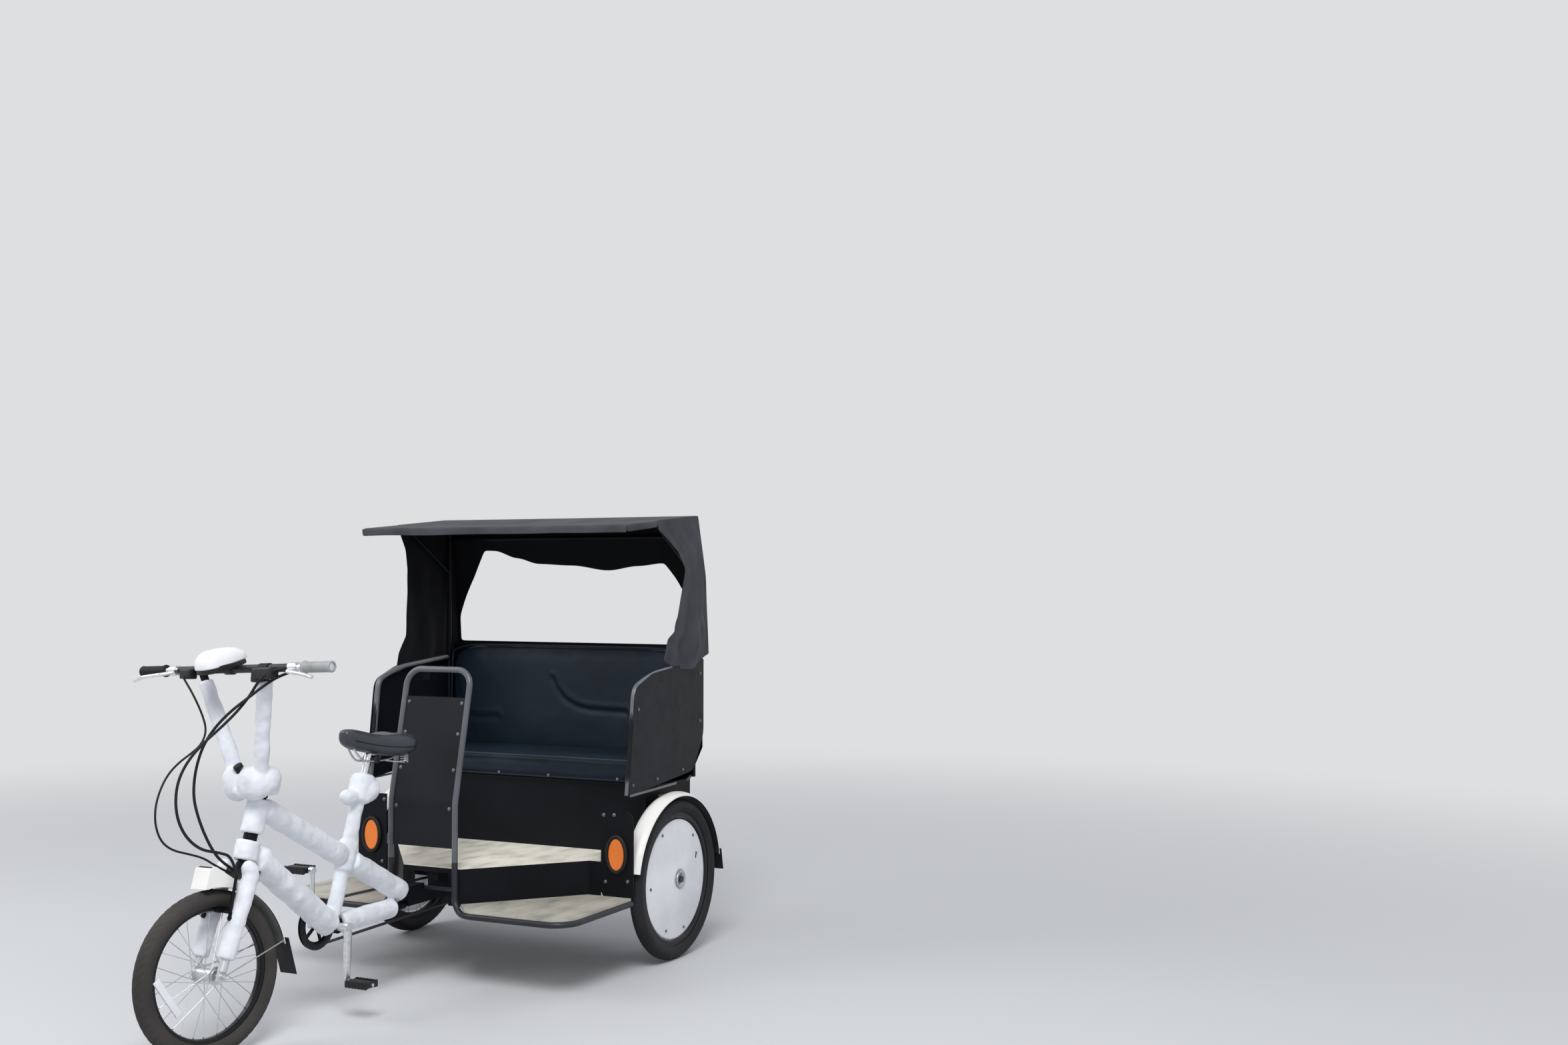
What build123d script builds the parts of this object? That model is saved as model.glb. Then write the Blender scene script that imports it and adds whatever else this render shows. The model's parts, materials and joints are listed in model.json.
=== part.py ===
from build123d import *

import math
import os

# Cycle rickshaw: a small-wheeled step-through pedal cycle in front, still in its foam
# transport sleeves, and a two-seat cab with a canopy on two wheels behind.
# Millimetres. Front towards -Y, the rider's left towards +X, ground at Z 0.
os.makedirs("parts", exist_ok=True)

# Whole vehicle
rear_axle_y = 851.5
track = 1240.0
bracket_reach = 1250.0
bottom_bracket_y = rear_axle_y - bracket_reach
bottom_bracket_z = 304.0
head_reach = 1622.0
head_y = rear_axle_y - head_reach
head_z = 670.0
head_lean = 18.0
steering_turned = -9.0
play = 0.3
running_fit = 0.05

# Rear wheels
rear_wheel_radius = 307.5
rear_tyre_width = 54.0
rear_tyre_height = 53.0
rear_rim_depth = 22.0
rear_rim_width = 30.0
rear_spoke_count = 18
rear_hub_radius = 24.0
rear_hub_length = 62.0
hub_flange_height = 8.0
hub_flange_thickness = 3.0
spoke_radius = 1.3
disc_radius = 240.0
disc_skin = 2.0
disc_hub_opening = 34.0
disc_valve_radius = 9.0
disc_valve_reach = 178.0
disc_valve_angle = 37.0
half_shaft_radius = 12.5
half_shaft_gap = 40.0
rear_axle_z = rear_wheel_radius

# Front wheel
front_wheel_radius = 257.0
front_tyre_width = 52.0
front_tyre_height = 52.0
front_rim_depth = 14.0
front_rim_width = 28.0
front_spoke_count = 14
front_hub_radius = 20.0
front_hub_length = 96.0
front_axle_radius = 5.0
bead_height = 18.0
bead_overhang = 4.0
rim_side_share = 0.75

# Fork, in the steering frame
fork_rake = 40.0
fork_half = 64.0
fork_leg_radius = 14.0
steerer_radius = 14.3
steerer_top = 172.0
crown_top = -120.0
crown_height = 32.0
crown_y = -14.0
crown_depth = 40.0
dropout_thickness = 8.0
axle_nut_radius = 9.0
axle_nut_width = 8.0

# Stem block, risers and handlebar, in the steering frame
stem_half_width = 68.0
stem_front = -78.0
stem_back = 14.0
stem_bottom = 124.0
stem_top = 184.0
stem_collar_radius = 22.0
riser_foot = (55.0, -56.0, 160.0)
riser_top_x = 157.0
riser_tube_radius = 12.7
bar_y = -212.0
bar_z = 475.0
bar_radius = 11.0
bar_half_length = 462.0
grip_length = 128.0
grip_radius = 16.5
lever_clamp_width = 34.0
lever_clamp_radius = 17.0
lever_blade_radius = 6.0
console_x = -16.0
console_width = 102.0
console_length = 150.0
console_height = 38.0
console_gap = 10.0
console_tilt = 22.0

# Front fender and brake, in the steering frame
front_fender_clearance = 14.0
front_fender_half = 36.0
front_fender_rise = 10.0
fender_skin = 3.0
nose_clearance = 8.0
nose_half = 38.0
nose_length = 106.0
nose_front_height = 322.0
nose_back_height = 286.0
flap_thickness = 4.0
front_flap_reach = 58.0
front_flap_foot = 172.3
fender_stay_radius = 2.2
brake_boss_drop = 154.0
brake_arm_radius = 5.0
brake_pad_length = 50.0
brake_pad_gap = 2.0

# Cycle frame tubes
head_tube_radius = 22.0
head_tube_below = 100.0
head_tube_above = 112.0
lower_cup_height = 18.0
upper_cup_height = 6.0
upper_tube_radius = 19.0
upper_tube_above = 84.0
down_tube_radius = 22.0
down_tube_below = 62.0
seat_tube_radius = 16.0
seat_tube_lean = 18.9
seat_tube_length = 490.0
stay_radius = 14.0
bottom_bracket_radius = 23.0
bottom_bracket_width = 72.0
seatpost_radius = 13.3
seatpost_sunk = 38.0
saddle_length = 270.0
saddle_width = 205.0
saddle_height = 62.0
saddle_top_z = 926.0
saddle_rear_y = rear_axle_y - 910
saddle_nose_width = 48.0
saddle_waist_width = 66.0

# Foam sleeves, outside radii
foam_gap = 0.3
upper_foam_radius = 37.0
down_foam_radius = 43.0
seat_foam_radius = 23.0
stay_foam_radius = 33.0
head_foam_radius = 34.0
seat_lump_radius = 45.0
seat_nose_radius = 24.0
seat_nose_length = 72.0
leg_foam_radius = 28.0
riser_foam_radius = 25.0
stem_foam_wall = 7.0
crown_foam_room = 8.0

# Crank set and chain
crank_length = 180.0
crank_angle = -91.0
crank_arm_x = 76.0
crank_arm_radius = 7.5
crank_boss_radius = 17.0
crank_spindle_radius = 8.5
chainring_teeth = 36
chainring_band = 14.0
sprocket_teeth = 22
sprocket_thickness = 3.0
chainring_thickness = 2.0
chain_pitch = 12.7
chain_x = -58.0
chain_height = 8.4
chain_plate = 1.4
chain_gap = 3.6
pedal_pin_radius = 5.0
pedal_length = 92.0
pedal_width = 62.0
pedal_height = 22.0
pedal_gap = 10.0

# Chassis under the cab
spine_width = 45.0
spine_height = 45.0
spine_nose_rise = 24.0
spine_nose_length = 90.0
spine_front_y = rear_axle_y - 862
spine_bottom_z = 302.0
floor_top_z = 415.0
floor_thickness = 18.0
rail_width = 40.0
rail_x = 400.0
cross_width = 40.0
wheel_room = 33.0
cross_half = track / 2 - rear_tyre_width / 2 - wheel_room
front_cross_y = rear_axle_y - 316
middle_cross_y = rear_axle_y - 90
rear_cross_y = rear_axle_y + 225
bearing_width = 30.0
bearing_length = 68.0
bearing_drop = 30.0
differential_radius = 43.0
differential_width = 100.0
differential_neck = 14.0

# Floors and steps
floor_front_y = rear_axle_y - 700
floor_front_half = 128.0
floor_side_y = rear_axle_y - 300
floor_side_half = 478.0
step_top_z = 290.0
step_thickness = 9.0
riser_thickness = 3.0
chain_notch_half = 76.0

# Partition hoop and step borders, one size of tube
hoop_tube_radius = 11.0
hoop_half_width = 143.0
hoop_y = rear_axle_y - 755
hoop_top_y = rear_axle_y - 660
hoop_bend_z = 660.0
hoop_top_z = 1136.0
hoop_joint_z = 450.0
hoop_corner = 62.0
hoop_lean_bend = 150.0
bearer_height = 10.0
border_front_y = rear_axle_y - 790
border_knee_x = 230.0
border_half_width = 640.0
border_back_half = border_half_width - 8
border_foot_bend = 60.0
border_knee_bend = 100.0
border_corner = 90.0
partition_thickness = 4.0
partition_bottom_z = 498.0
partition_top_z = 1036.0

# Reflector plates in front of the rear wheels
plate_width = 140.0
plate_thickness = 4.0
plate_bottom_z = 262.0
plate_top_z = 612.0
plate_x = border_half_width + 1 - plate_width / 2
plate_top_corner = 44.0
plate_y = rear_axle_y - 340
plate_corner = 60.0
reflector_z = 447.0
reflector_width = 67.0
reflector_height = 118.0
reflector_depth = 9.0

# Seat and side panels
cab_half_width = 616.0
panel_thickness = 4.0
seat_box_front_y = rear_axle_y - 110
seat_box_back_y = rear_axle_y + 240
seat_box_half = cross_half
seat_box_wall = 6.0
seat_deck_thickness = 12.0
seat_deck_top_z = 680.0
seat_front_y = rear_axle_y - 132
seat_thickness = 84.0
seat_half = 585.0
back_panel_y = rear_axle_y + 250
back_panel_top_z = 1190.0
backrest_top_z = 1196.0
backrest_thickness = 62.0
side_bottom_z = 662.0
side_heel_low_z = 708.0
side_front_y = rear_axle_y - 330
side_shoulder_y = rear_axle_y - 283
side_shoulder_z = 1060.0
side_crest_y = rear_axle_y - 150
side_crest_z = 1110.0
side_top_z = 1146.0
side_heel_z = 840.0
side_heel_y = rear_axle_y + 160
side_tube_radius = 11.0
side_tube_gap = 2.0

# Rear fenders
fender_half = 35.0
fender_edge_radius = 322.0
fender_crown_radius = 335.0
fender_front_angle = 12.0
fender_rear_angle = 9.0
fender_arm_width = 36.0

# Canopy and its tube frame
canopy_front_y = rear_axle_y - 360
canopy_front_z = 1676.0
canopy_hem = 28.0
canopy_rear_y = rear_axle_y + 196
canopy_rear_z = 1726.0
canopy_half_width = 623.0
canopy_thickness = 6.0
canopy_back_y = rear_axle_y + 262
canopy_back_z = 1476.0
canopy_tail_y = rear_axle_y + 285
canopy_tail_z = 1192.0
window_top_z = 1540.0
window_bottom_z = 1203.0
window_top_half = 430.0
window_bottom_half = 590.0
window_corner = 30.0
canopy_post_x = 600.0
canopy_post_y = rear_axle_y + 194
canopy_tube_radius = 9.0
canopy_bow_y = rear_axle_y - 342
canopy_bend = 60.0
canopy_brace_y = rear_axle_y - 110
canopy_brace_z = 1490.0


def rod(start, end, radius, bore=0.0):
    """A straight round bar, or a tube where it has a bore, from one point to another."""
    run = Vector(end) - Vector(start)
    with BuildPart() as piece:
        with BuildSketch(Plane(origin=start, z_dir=run)):
            Circle(radius)
            if bore:
                Circle(bore, mode=Mode.SUBTRACT)
        extrude(amount=run.length)
    return piece.part


def bent_rod(points, bends, radius):
    """A round bar along straight runs joined by arcs, with one bend radius for each corner."""
    with BuildPart() as piece:
        with BuildLine() as path:
            FilletPolyline(*points, radius=bends)
        with BuildSketch(Plane(origin=path.line @ 0, z_dir=path.line % 0)):
            Circle(radius)
        sweep()
    return piece.part


def slab(low, high):
    """A box between two opposite corners."""
    size = Vector(high) - Vector(low)
    with BuildPart() as piece:
        with Locations((Vector(low) + Vector(high)) / 2):
            Box(abs(size.X), abs(size.Y), abs(size.Z))
    return piece.part


def tyre_ring(middle, radius, width, height, rim_width):
    """A round tyre about an axle along X, its bead as wide as the rim and a little more."""
    bead = radius - height
    with BuildPart() as piece:
        with BuildSketch(Plane(origin=middle, x_dir=(0, 0, 1), z_dir=(0, 1, 0))):
            with Locations((radius - width / 2, 0)):
                Circle(width / 2)
            with Locations((bead + bead_height / 2, 0)):
                Rectangle(bead_height, rim_width + 2 * bead_overhang)
            with Locations((bead / 2, 0)):
                Rectangle(bead, width, mode=Mode.SUBTRACT)
        revolve(axis=Axis(middle, (1, 0, 0)))
    return piece.part


def spoked_rim(middle, bead, depth, width, hub_radius, hub_length, bore, count):
    """A box-section rim with its hub and two crossed rows of spokes, about an axle along X."""
    inner = bead - depth
    flange_x = hub_length / 2 - 2 * hub_flange_thickness
    hub_reach = hub_radius + hub_flange_height / 2
    spokes = []
    for row in (-1, 1):
        for number in range(count):
            rim_angle = 360 * (number + (row + 1) / 4) / count
            hub_angle = rim_angle + (62 if number % 2 else -62)
            hub_end = Vector(row * flange_x, hub_reach, 0).rotate(Axis.X, hub_angle)
            rim_end = Vector(row * 3, inner + 2, 0).rotate(Axis.X, rim_angle)
            spokes.append(rod(hub_end + middle, rim_end + middle, spoke_radius))
    half = width / 2
    side_end = bead - depth * rim_side_share
    with BuildPart() as piece:
        with BuildSketch(Plane(origin=middle, x_dir=(0, 0, 1), z_dir=(0, 1, 0))):
            with BuildLine():
                Polyline(
                    (bead, -half), (bead, half), (side_end, half), (inner, half / 2),
                    (inner, -half / 2), (side_end, -half), close=True,
                )
            make_face()
            with Locations(((bore + hub_radius) / 2, 0)):
                Rectangle(hub_radius - bore, hub_length)
            for row in (-1, 1):
                with Locations((hub_radius + hub_flange_height / 2 - 1, row * flange_x)):
                    Rectangle(hub_flange_height + 2, hub_flange_thickness)
        revolve(axis=Axis(middle, (1, 0, 0)))
        add(spokes)
    return piece.part


def fender_band(middle, start, end, edge, crown, half, skin):
    """An arched strip round an axle along X, from one angle to another: 0 forwards, 90 up."""
    first = math.radians(start)
    radial = Vector(0, -math.cos(first), math.sin(first))
    across = Vector(-1, 0, 0)
    with BuildPart() as piece:
        with BuildSketch(Plane(origin=middle, x_dir=radial, z_dir=radial.cross(across))):
            with BuildLine():
                outer = ThreePointArc((edge, -half), (crown, 0), (edge, half))
                inner = ThreePointArc((edge - skin, -half), (crown - skin, 0), (edge - skin, half))
                Line(outer @ 0, inner @ 0)
                Line(outer @ 1, inner @ 1)
            make_face()
        revolve(axis=Axis(middle, across), revolution_arc=end - start)
    return piece.part


# Rear wheels: tyre, spoked rim, white outer disc and half shaft
rear_bead = rear_wheel_radius - rear_tyre_height
for side, outward in (("left", 1), ("right", -1)):
    wheel_middle = Vector(outward * track / 2, rear_axle_y, rear_axle_z)
    tyre = tyre_ring(wheel_middle, rear_wheel_radius, rear_tyre_width, rear_tyre_height, rear_rim_width)
    tyre.label = f"rear_{side}_tyre"
    export_step(tyre, f"parts/rear_{side}_tyre.step")

    rim = spoked_rim(
        wheel_middle, rear_bead - play, rear_rim_depth, rear_rim_width,
        rear_hub_radius, rear_hub_length, half_shaft_radius, rear_spoke_count,
    )
    rim.label = f"rear_{side}_rim"
    export_step(rim, f"parts/rear_{side}_rim.step")

    with BuildPart(mode=Mode.PRIVATE) as disc:
        rim_face = rear_rim_width / 2 + play
        hub_face = rear_hub_length / 2 + play
        with BuildSketch(Plane(origin=wheel_middle, x_dir=(0, 0, 1), z_dir=(0, 1, 0))):
            with BuildLine():
                Polyline(
                    (disc_radius, outward * rim_face),
                    (disc_radius, outward * (rim_face + disc_skin)),
                    (disc_hub_opening, outward * (hub_face + disc_skin)),
                    (disc_hub_opening, outward * hub_face),
                    close=True,
                )
            make_face()
        revolve(axis=Axis(wheel_middle, (1, 0, 0)))
        valve = Vector(0, disc_valve_reach, 0).rotate(Axis.X, disc_valve_angle) + wheel_middle
        add(rod(valve, valve + Vector(outward * hub_face * 2, 0, 0), disc_valve_radius), mode=Mode.SUBTRACT)
    disc.part.label = f"rear_{side}_disc"
    export_step(disc.part, f"parts/rear_{side}_disc.step")

    shaft_inner = Vector(outward * half_shaft_gap, rear_axle_y, rear_axle_z)
    shaft_outer = wheel_middle + Vector(outward * (rear_hub_length / 2 + 8), 0, 0)
    shaft = rod(shaft_inner, shaft_outer, half_shaft_radius - running_fit)
    shaft.label = f"{side}_half_shaft"
    export_step(shaft, f"parts/{side}_half_shaft.step")

# The steering turns about the head tube's axis, and every steered piece is drawn in this
# frame: origin half way up the head tube, Z up along it, -Y forwards, X to the left
lean = math.radians(head_lean)
steering_axis = Vector(0, math.sin(lean), math.cos(lean))
head_point = Vector(0, head_y, head_z)
turned_x = Vector(1, 0, 0).rotate(Axis((0, 0, 0), steering_axis), steering_turned)
steering_frame = Plane(origin=head_point, x_dir=turned_x, z_dir=steering_axis)

# The front axle lies where the turned tyre just touches the ground
tread_radius = front_wheel_radius - front_tyre_width / 2
wheel_tilt = steering_frame.x_dir.Z
tyre_drop = tread_radius * math.sqrt(1 - wheel_tilt**2) + front_tyre_width / 2
front_axle_height = (tyre_drop - head_z + fork_rake * steering_frame.y_dir.Z) / steering_axis.Z
front_axle = Vector(0, -fork_rake, front_axle_height)


def steered(piece, name):
    """Turns a piece from the steering frame into the vehicle's and writes it."""
    placed = steering_frame.location * piece
    placed.label = name
    export_step(placed, f"parts/{name}.step")


def round_axle(radius, degrees, across=0.0):
    """A point of the steering frame round the front axle: 0 degrees is forwards, 90 up."""
    angle = math.radians(degrees)
    return front_axle + Vector(across, -radius * math.cos(angle), radius * math.sin(angle))


# Front wheel
front_bead = front_wheel_radius - front_tyre_height
front_tyre = tyre_ring(front_axle, front_wheel_radius, front_tyre_width, front_tyre_height, front_rim_width)
steered(front_tyre, "front_tyre")
front_rim = spoked_rim(
    front_axle, front_bead - play, front_rim_depth, front_rim_width,
    front_hub_radius, front_hub_length, front_axle_radius + running_fit, front_spoke_count,
)
steered(front_rim, "front_rim")

# Fork: steerer, crown, two legs, drop-outs and the fixed axle with its nuts
crown_bottom = crown_top - crown_height
axle_half = fork_half + dropout_thickness / 2 + axle_nut_width + 6
with BuildPart() as fork:
    add(rod((0, 0, crown_bottom), (0, 0, steerer_top), steerer_radius))
    crown_half = fork_half + fork_leg_radius + 2
    with BuildSketch(Plane.XY.offset(crown_bottom)):
        with Locations((0, crown_y + 6)):
            RectangleRounded(2 * crown_half, crown_depth + 12, crown_depth / 2)
    extrude(amount=crown_height)
    for side in (-1, 1):
        leg_top = Vector(side * fork_half, crown_y, crown_top - 4)
        leg_foot = Vector(side * fork_half, -fork_rake, front_axle_height + fork_leg_radius)
        add(rod(leg_top, leg_foot, fork_leg_radius))
        dropout_half = dropout_thickness / 2
        add(
            slab(
                (side * fork_half - dropout_half, -fork_rake - fork_leg_radius, front_axle_height - 16),
                (side * fork_half + dropout_half, -fork_rake + fork_leg_radius, front_axle_height + 26),
            )
        )
        nut_start = front_axle + Vector(side * (fork_half + dropout_half), 0, 0)
        add(rod(nut_start, nut_start + Vector(side * axle_nut_width, 0, 0), axle_nut_radius))
    add(rod(front_axle - Vector(axle_half, 0, 0), front_axle + Vector(axle_half, 0, 0), front_axle_radius))
steered(fork.part, "fork")

# Stem block on the steerer with two leaning risers up to the bar
bar_left = Vector(bar_half_length, bar_y, bar_z)
bar_right = Vector(-bar_half_length, bar_y, bar_z)
bar_seat = rod(bar_right, bar_left, bar_radius + play)
steerer_seat = rod((0, 0, crown_top), (0, 0, steerer_top + 2), steerer_radius + running_fit)
riser_feet = [Vector(side * riser_foot[0], riser_foot[1], riser_foot[2]) for side in (-1, 1)]
riser_heads = [Vector(side * riser_top_x, bar_y, bar_z) for side in (-1, 1)]
stem_collar_bottom = head_tube_above + upper_cup_height + play
with BuildPart() as stem:
    add(slab((-stem_half_width, stem_front, stem_bottom), (stem_half_width, stem_back, stem_top)))
    fillet(stem.edges().filter_by(Axis.Z), 14)
    add(rod((0, 0, stem_collar_bottom), (0, 0, steerer_top), stem_collar_radius))
    for foot, head in zip(riser_feet, riser_heads):
        add(rod(foot, head, riser_tube_radius))
        add(rod(head - Vector(22, 0, 0), head + Vector(22, 0, 0), bar_radius + 5))
    add(bar_seat, mode=Mode.SUBTRACT)
    add(steerer_seat, mode=Mode.SUBTRACT)
steered(stem.part, "stem")

steered(rod(bar_right, bar_left, bar_radius), "handlebar")

with BuildPart() as grips:
    for end in (bar_left, bar_right):
        inward = (Vector(0, bar_y, bar_z) - end).normalized()
        add(rod(end - inward * 3, end + inward * grip_length, grip_radius))
        add(rod(end, end + inward * (grip_length + 1), bar_radius + play), mode=Mode.SUBTRACT)
steered(grips.part, "grips")

# Brake levers: a clamp round the bar and a blade in front of each grip
lever_x = bar_half_length - grip_length - lever_clamp_width - 24
with BuildPart() as brake_levers:
    for side in (-1, 1):
        clamp = Vector(side * lever_x, bar_y, bar_z)
        add(rod(clamp, clamp + Vector(side * lever_clamp_width, 0, 0), lever_clamp_radius))
        blade = [
            clamp + Vector(side * 16, -10, -10),
            clamp + Vector(side * 36, -40, -24),
            clamp + Vector(side * 110, -50, -34),
            clamp + Vector(side * 160, -42, -44),
        ]
        add(bent_rod(blade, [14, 40], lever_blade_radius))
    add(bar_seat, mode=Mode.SUBTRACT)
steered(brake_levers.part, "brake_levers")

# Handlebar console: a rounded case on a saddle block over the bar, tipped forwards about it
console_turn = math.radians(console_tilt)
console_up = Vector(0, -math.sin(console_turn), math.cos(console_turn))
console_plane = Plane(origin=(console_x, bar_y, bar_z), x_dir=(1, 0, 0), z_dir=console_up)
console_bottom = bar_radius + console_gap
with BuildPart() as console:
    with BuildSketch(console_plane.offset(console_bottom)):
        with Locations((0, -console_length / 4)):
            RectangleRounded(console_width, console_length, console_width * 0.4)
    extrude(amount=console_height, taper=24)
    with BuildSketch(console_plane.offset(bar_radius + play)):
        Rectangle(44, 30)
    extrude(amount=console_gap)
steered(console.part, "console")

# Front brake: an arm in front of each leg, with its pad beside the rim and a wire between
boss_z = crown_top - brake_boss_drop
boss_y = crown_y - fork_leg_radius - 9
arm_y = boss_y - fork_leg_radius - 6
pad_radius = front_bead - front_rim_depth / 2
with BuildPart() as front_brake:
    for side in (-1, 1):
        boss_x = side * fork_half
        leg_back = Vector(boss_x, crown_y, boss_z)
        add(rod(leg_back, Vector(boss_x, arm_y - 4, boss_z), 7))
        arm_top = Vector(side * (nose_half + 12), arm_y, crown_bottom + 6)
        add(rod(Vector(boss_x, arm_y, boss_z - 8), arm_top, brake_arm_radius))
        pad_x = front_rim_width / 2 + brake_pad_gap
        pad_z = front_axle_height + pad_radius - 5
        add(
            slab(
                (side * pad_x, arm_y - brake_pad_length / 2, pad_z - 6),
                (side * (pad_x + 10), arm_y + brake_pad_length / 2, pad_z + 5),
            )
        )
        add(rod((side * (pad_x + 5), arm_y, pad_z), (boss_x, arm_y, pad_z), 4))
        add(rod((boss_x, arm_y, pad_z - 2), (boss_x, arm_y, boss_z), 5))
    add(fork.part, mode=Mode.SUBTRACT)
steered(front_brake.part, "front_brake")

# Front fender: a deep hollow nose over the tyre and an arched strip behind it
nose_low = front_wheel_radius + nose_clearance
nose_back = crown_y - crown_depth / 2 - play + fork_rake
nose_plane = Plane(origin=(-nose_half, -fork_rake, front_axle_height), x_dir=(0, 1, 0), z_dir=(1, 0, 0))
with BuildPart() as front_fender:
    with BuildSketch(nose_plane):
        with BuildLine():
            Polyline(
                (nose_back, 0),
                (nose_back, nose_back_height),
                (-nose_length, nose_front_height),
                (-nose_length, 0),
                close=True,
            )
        make_face()
        Circle(nose_low, mode=Mode.SUBTRACT)
    extrude(amount=2 * nose_half)
    fillet(front_fender.edges().filter_by(Axis.X).sort_by(Axis.Z)[-1], 16)
    with BuildSketch(nose_plane.offset(fender_skin)):
        with BuildLine():
            Polyline(
                (nose_back - fender_skin, 0),
                (nose_back - fender_skin, nose_back_height - fender_skin),
                (-nose_length + fender_skin, nose_front_height - 2 * fender_skin),
                (-nose_length + fender_skin, 0),
                close=True,
            )
        make_face()
    extrude(amount=2 * (nose_half - fender_skin), mode=Mode.SUBTRACT)
    band_edge = front_wheel_radius + front_fender_clearance + fender_skin
    add(
        fender_band(
            front_axle, 86, 152, band_edge, band_edge + front_fender_rise, front_fender_half, fender_skin
        )
    )
steered(front_fender.part, "front_fender")

flap_root = band_edge + front_fender_rise + play


def on_flap(radius, degrees):
    """A point of the nose's side plane behind the front axle: 180 degrees is straight back."""
    angle = math.radians(degrees)
    return (-radius * math.cos(angle), radius * math.sin(angle))


flap_foot = front_wheel_radius + front_flap_reach
with BuildPart() as front_mudflap:
    with BuildSketch(nose_plane):
        with BuildLine():
            Polyline(
                on_flap(flap_root, 149),
                on_flap(flap_root + flap_thickness, 149),
                on_flap(flap_foot, front_flap_foot),
                on_flap(flap_foot - flap_thickness, front_flap_foot),
                on_flap(flap_root, 152),
                close=True,
            )
        make_face()
    extrude(amount=2 * nose_half)
steered(front_mudflap.part, "front_mudflap")

with BuildPart() as fender_stays:
    for side in (-1, 1):
        eye_x = side * (fork_half + dropout_thickness / 2 + axle_nut_width + play)
        eye = front_axle + Vector(eye_x, 0, 0)
        add(rod(eye, eye + Vector(side * 3, 0, 0), 9, front_axle_radius + play))
        stay_foot = eye + Vector(side * 3.5, 6, 3)
        stay_head = round_axle(band_edge - 6, 149, side * (front_fender_half + 3))
        add(rod(stay_foot, stay_head, fender_stay_radius))
steered(fender_stays.part, "fender_stays")


def finished(piece, name):
    """Labels a piece that stands in the vehicle's own frame and writes it."""
    piece.label = name
    export_step(piece, f"parts/{name}.step")


# Cycle frame: head tube with its cups, upper and down tubes, seat tube, bracket and stay
head_top = head_point + steering_axis * head_tube_above
head_bottom = head_point - steering_axis * head_tube_below
bracket = Vector(0, bottom_bracket_y, bottom_bracket_z)
seat_run = Vector(0, math.sin(math.radians(seat_tube_lean)), math.cos(math.radians(seat_tube_lean)))
seat_top = bracket + seat_run * seat_tube_length
upper_start = head_point + steering_axis * upper_tube_above
upper_end = Vector(0, spine_front_y, spine_bottom_z + spine_height)
upper_run = (upper_end - upper_start).normalized()
down_start = head_point - steering_axis * down_tube_below
down_run = (bracket - down_start).normalized()
stay_end = Vector(0, spine_front_y, spine_bottom_z + 4)
stay_run = (stay_end - bracket).normalized()
shell_reach = Vector(bottom_bracket_width / 2, 0, 0)

head_solid = rod(head_bottom, head_top, head_tube_radius)
upper_solid = rod(upper_start, upper_end + upper_run * 60, upper_tube_radius)
seat_solid = rod(bracket, seat_top, seat_tube_radius)
shell_solid = rod(bracket - shell_reach, bracket + shell_reach, bottom_bracket_radius)
behind_spine = slab((-60, spine_front_y, 200), (60, spine_front_y + 120, 480))

with BuildPart() as head_tube:
    add(rod(head_bottom, head_top, head_tube_radius, steerer_radius + 1))
    for cup_start, cup_height in ((head_top, upper_cup_height), (head_bottom, -lower_cup_height)):
        cup_end = cup_start + steering_axis * cup_height
        add(rod(cup_start, cup_end, head_tube_radius + 3, steerer_radius + running_fit))
finished(head_tube.part, "head_tube")

with BuildPart() as upper_tube:
    add(upper_solid)
    add(head_solid, mode=Mode.SUBTRACT)
    add(seat_solid, mode=Mode.SUBTRACT)
    add(behind_spine, mode=Mode.SUBTRACT)
finished(upper_tube.part, "upper_tube")

with BuildPart() as down_tube:
    add(rod(down_start, bracket, down_tube_radius))
    add(head_solid, mode=Mode.SUBTRACT)
    add(shell_solid, mode=Mode.SUBTRACT)
finished(down_tube.part, "down_tube")

with BuildPart() as seat_tube:
    add(seat_solid)
    socket_bottom = seat_top - seat_run * (seatpost_sunk + 2)
    add(rod(socket_bottom, seat_top + seat_run, seatpost_radius + play), mode=Mode.SUBTRACT)
    add(shell_solid, mode=Mode.SUBTRACT)
    add(rod(down_start, bracket, down_tube_radius), mode=Mode.SUBTRACT)
finished(seat_tube.part, "seat_tube")

with BuildPart() as bottom_bracket:
    add(shell_solid)
    spindle_room = rod(bracket - shell_reach * 2, bracket + shell_reach * 2, crank_spindle_radius + running_fit)
    add(spindle_room, mode=Mode.SUBTRACT)
finished(bottom_bracket.part, "bottom_bracket")

with BuildPart() as lower_stay:
    add(rod(bracket, stay_end + stay_run * 30, stay_radius))
    add(shell_solid, mode=Mode.SUBTRACT)
    add(seat_solid, mode=Mode.SUBTRACT)
    add(upper_solid, mode=Mode.SUBTRACT)
    add(behind_spine, mode=Mode.SUBTRACT)
finished(lower_stay.part, "lower_stay")

saddle_bottom_z = saddle_top_z - saddle_height
post_reach = (saddle_bottom_z - seat_top.Z) / seat_run.Z
with BuildPart() as seatpost:
    add(rod(seat_top - seat_run * seatpost_sunk, seat_top + seat_run * (post_reach + 30), seatpost_radius))
    post_top = seat_top + seat_run * post_reach
    add(slab(post_top - Vector(60, 60, 0), post_top + Vector(60, 60, 60)), mode=Mode.SUBTRACT)
finished(seatpost.part, "seatpost")

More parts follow.
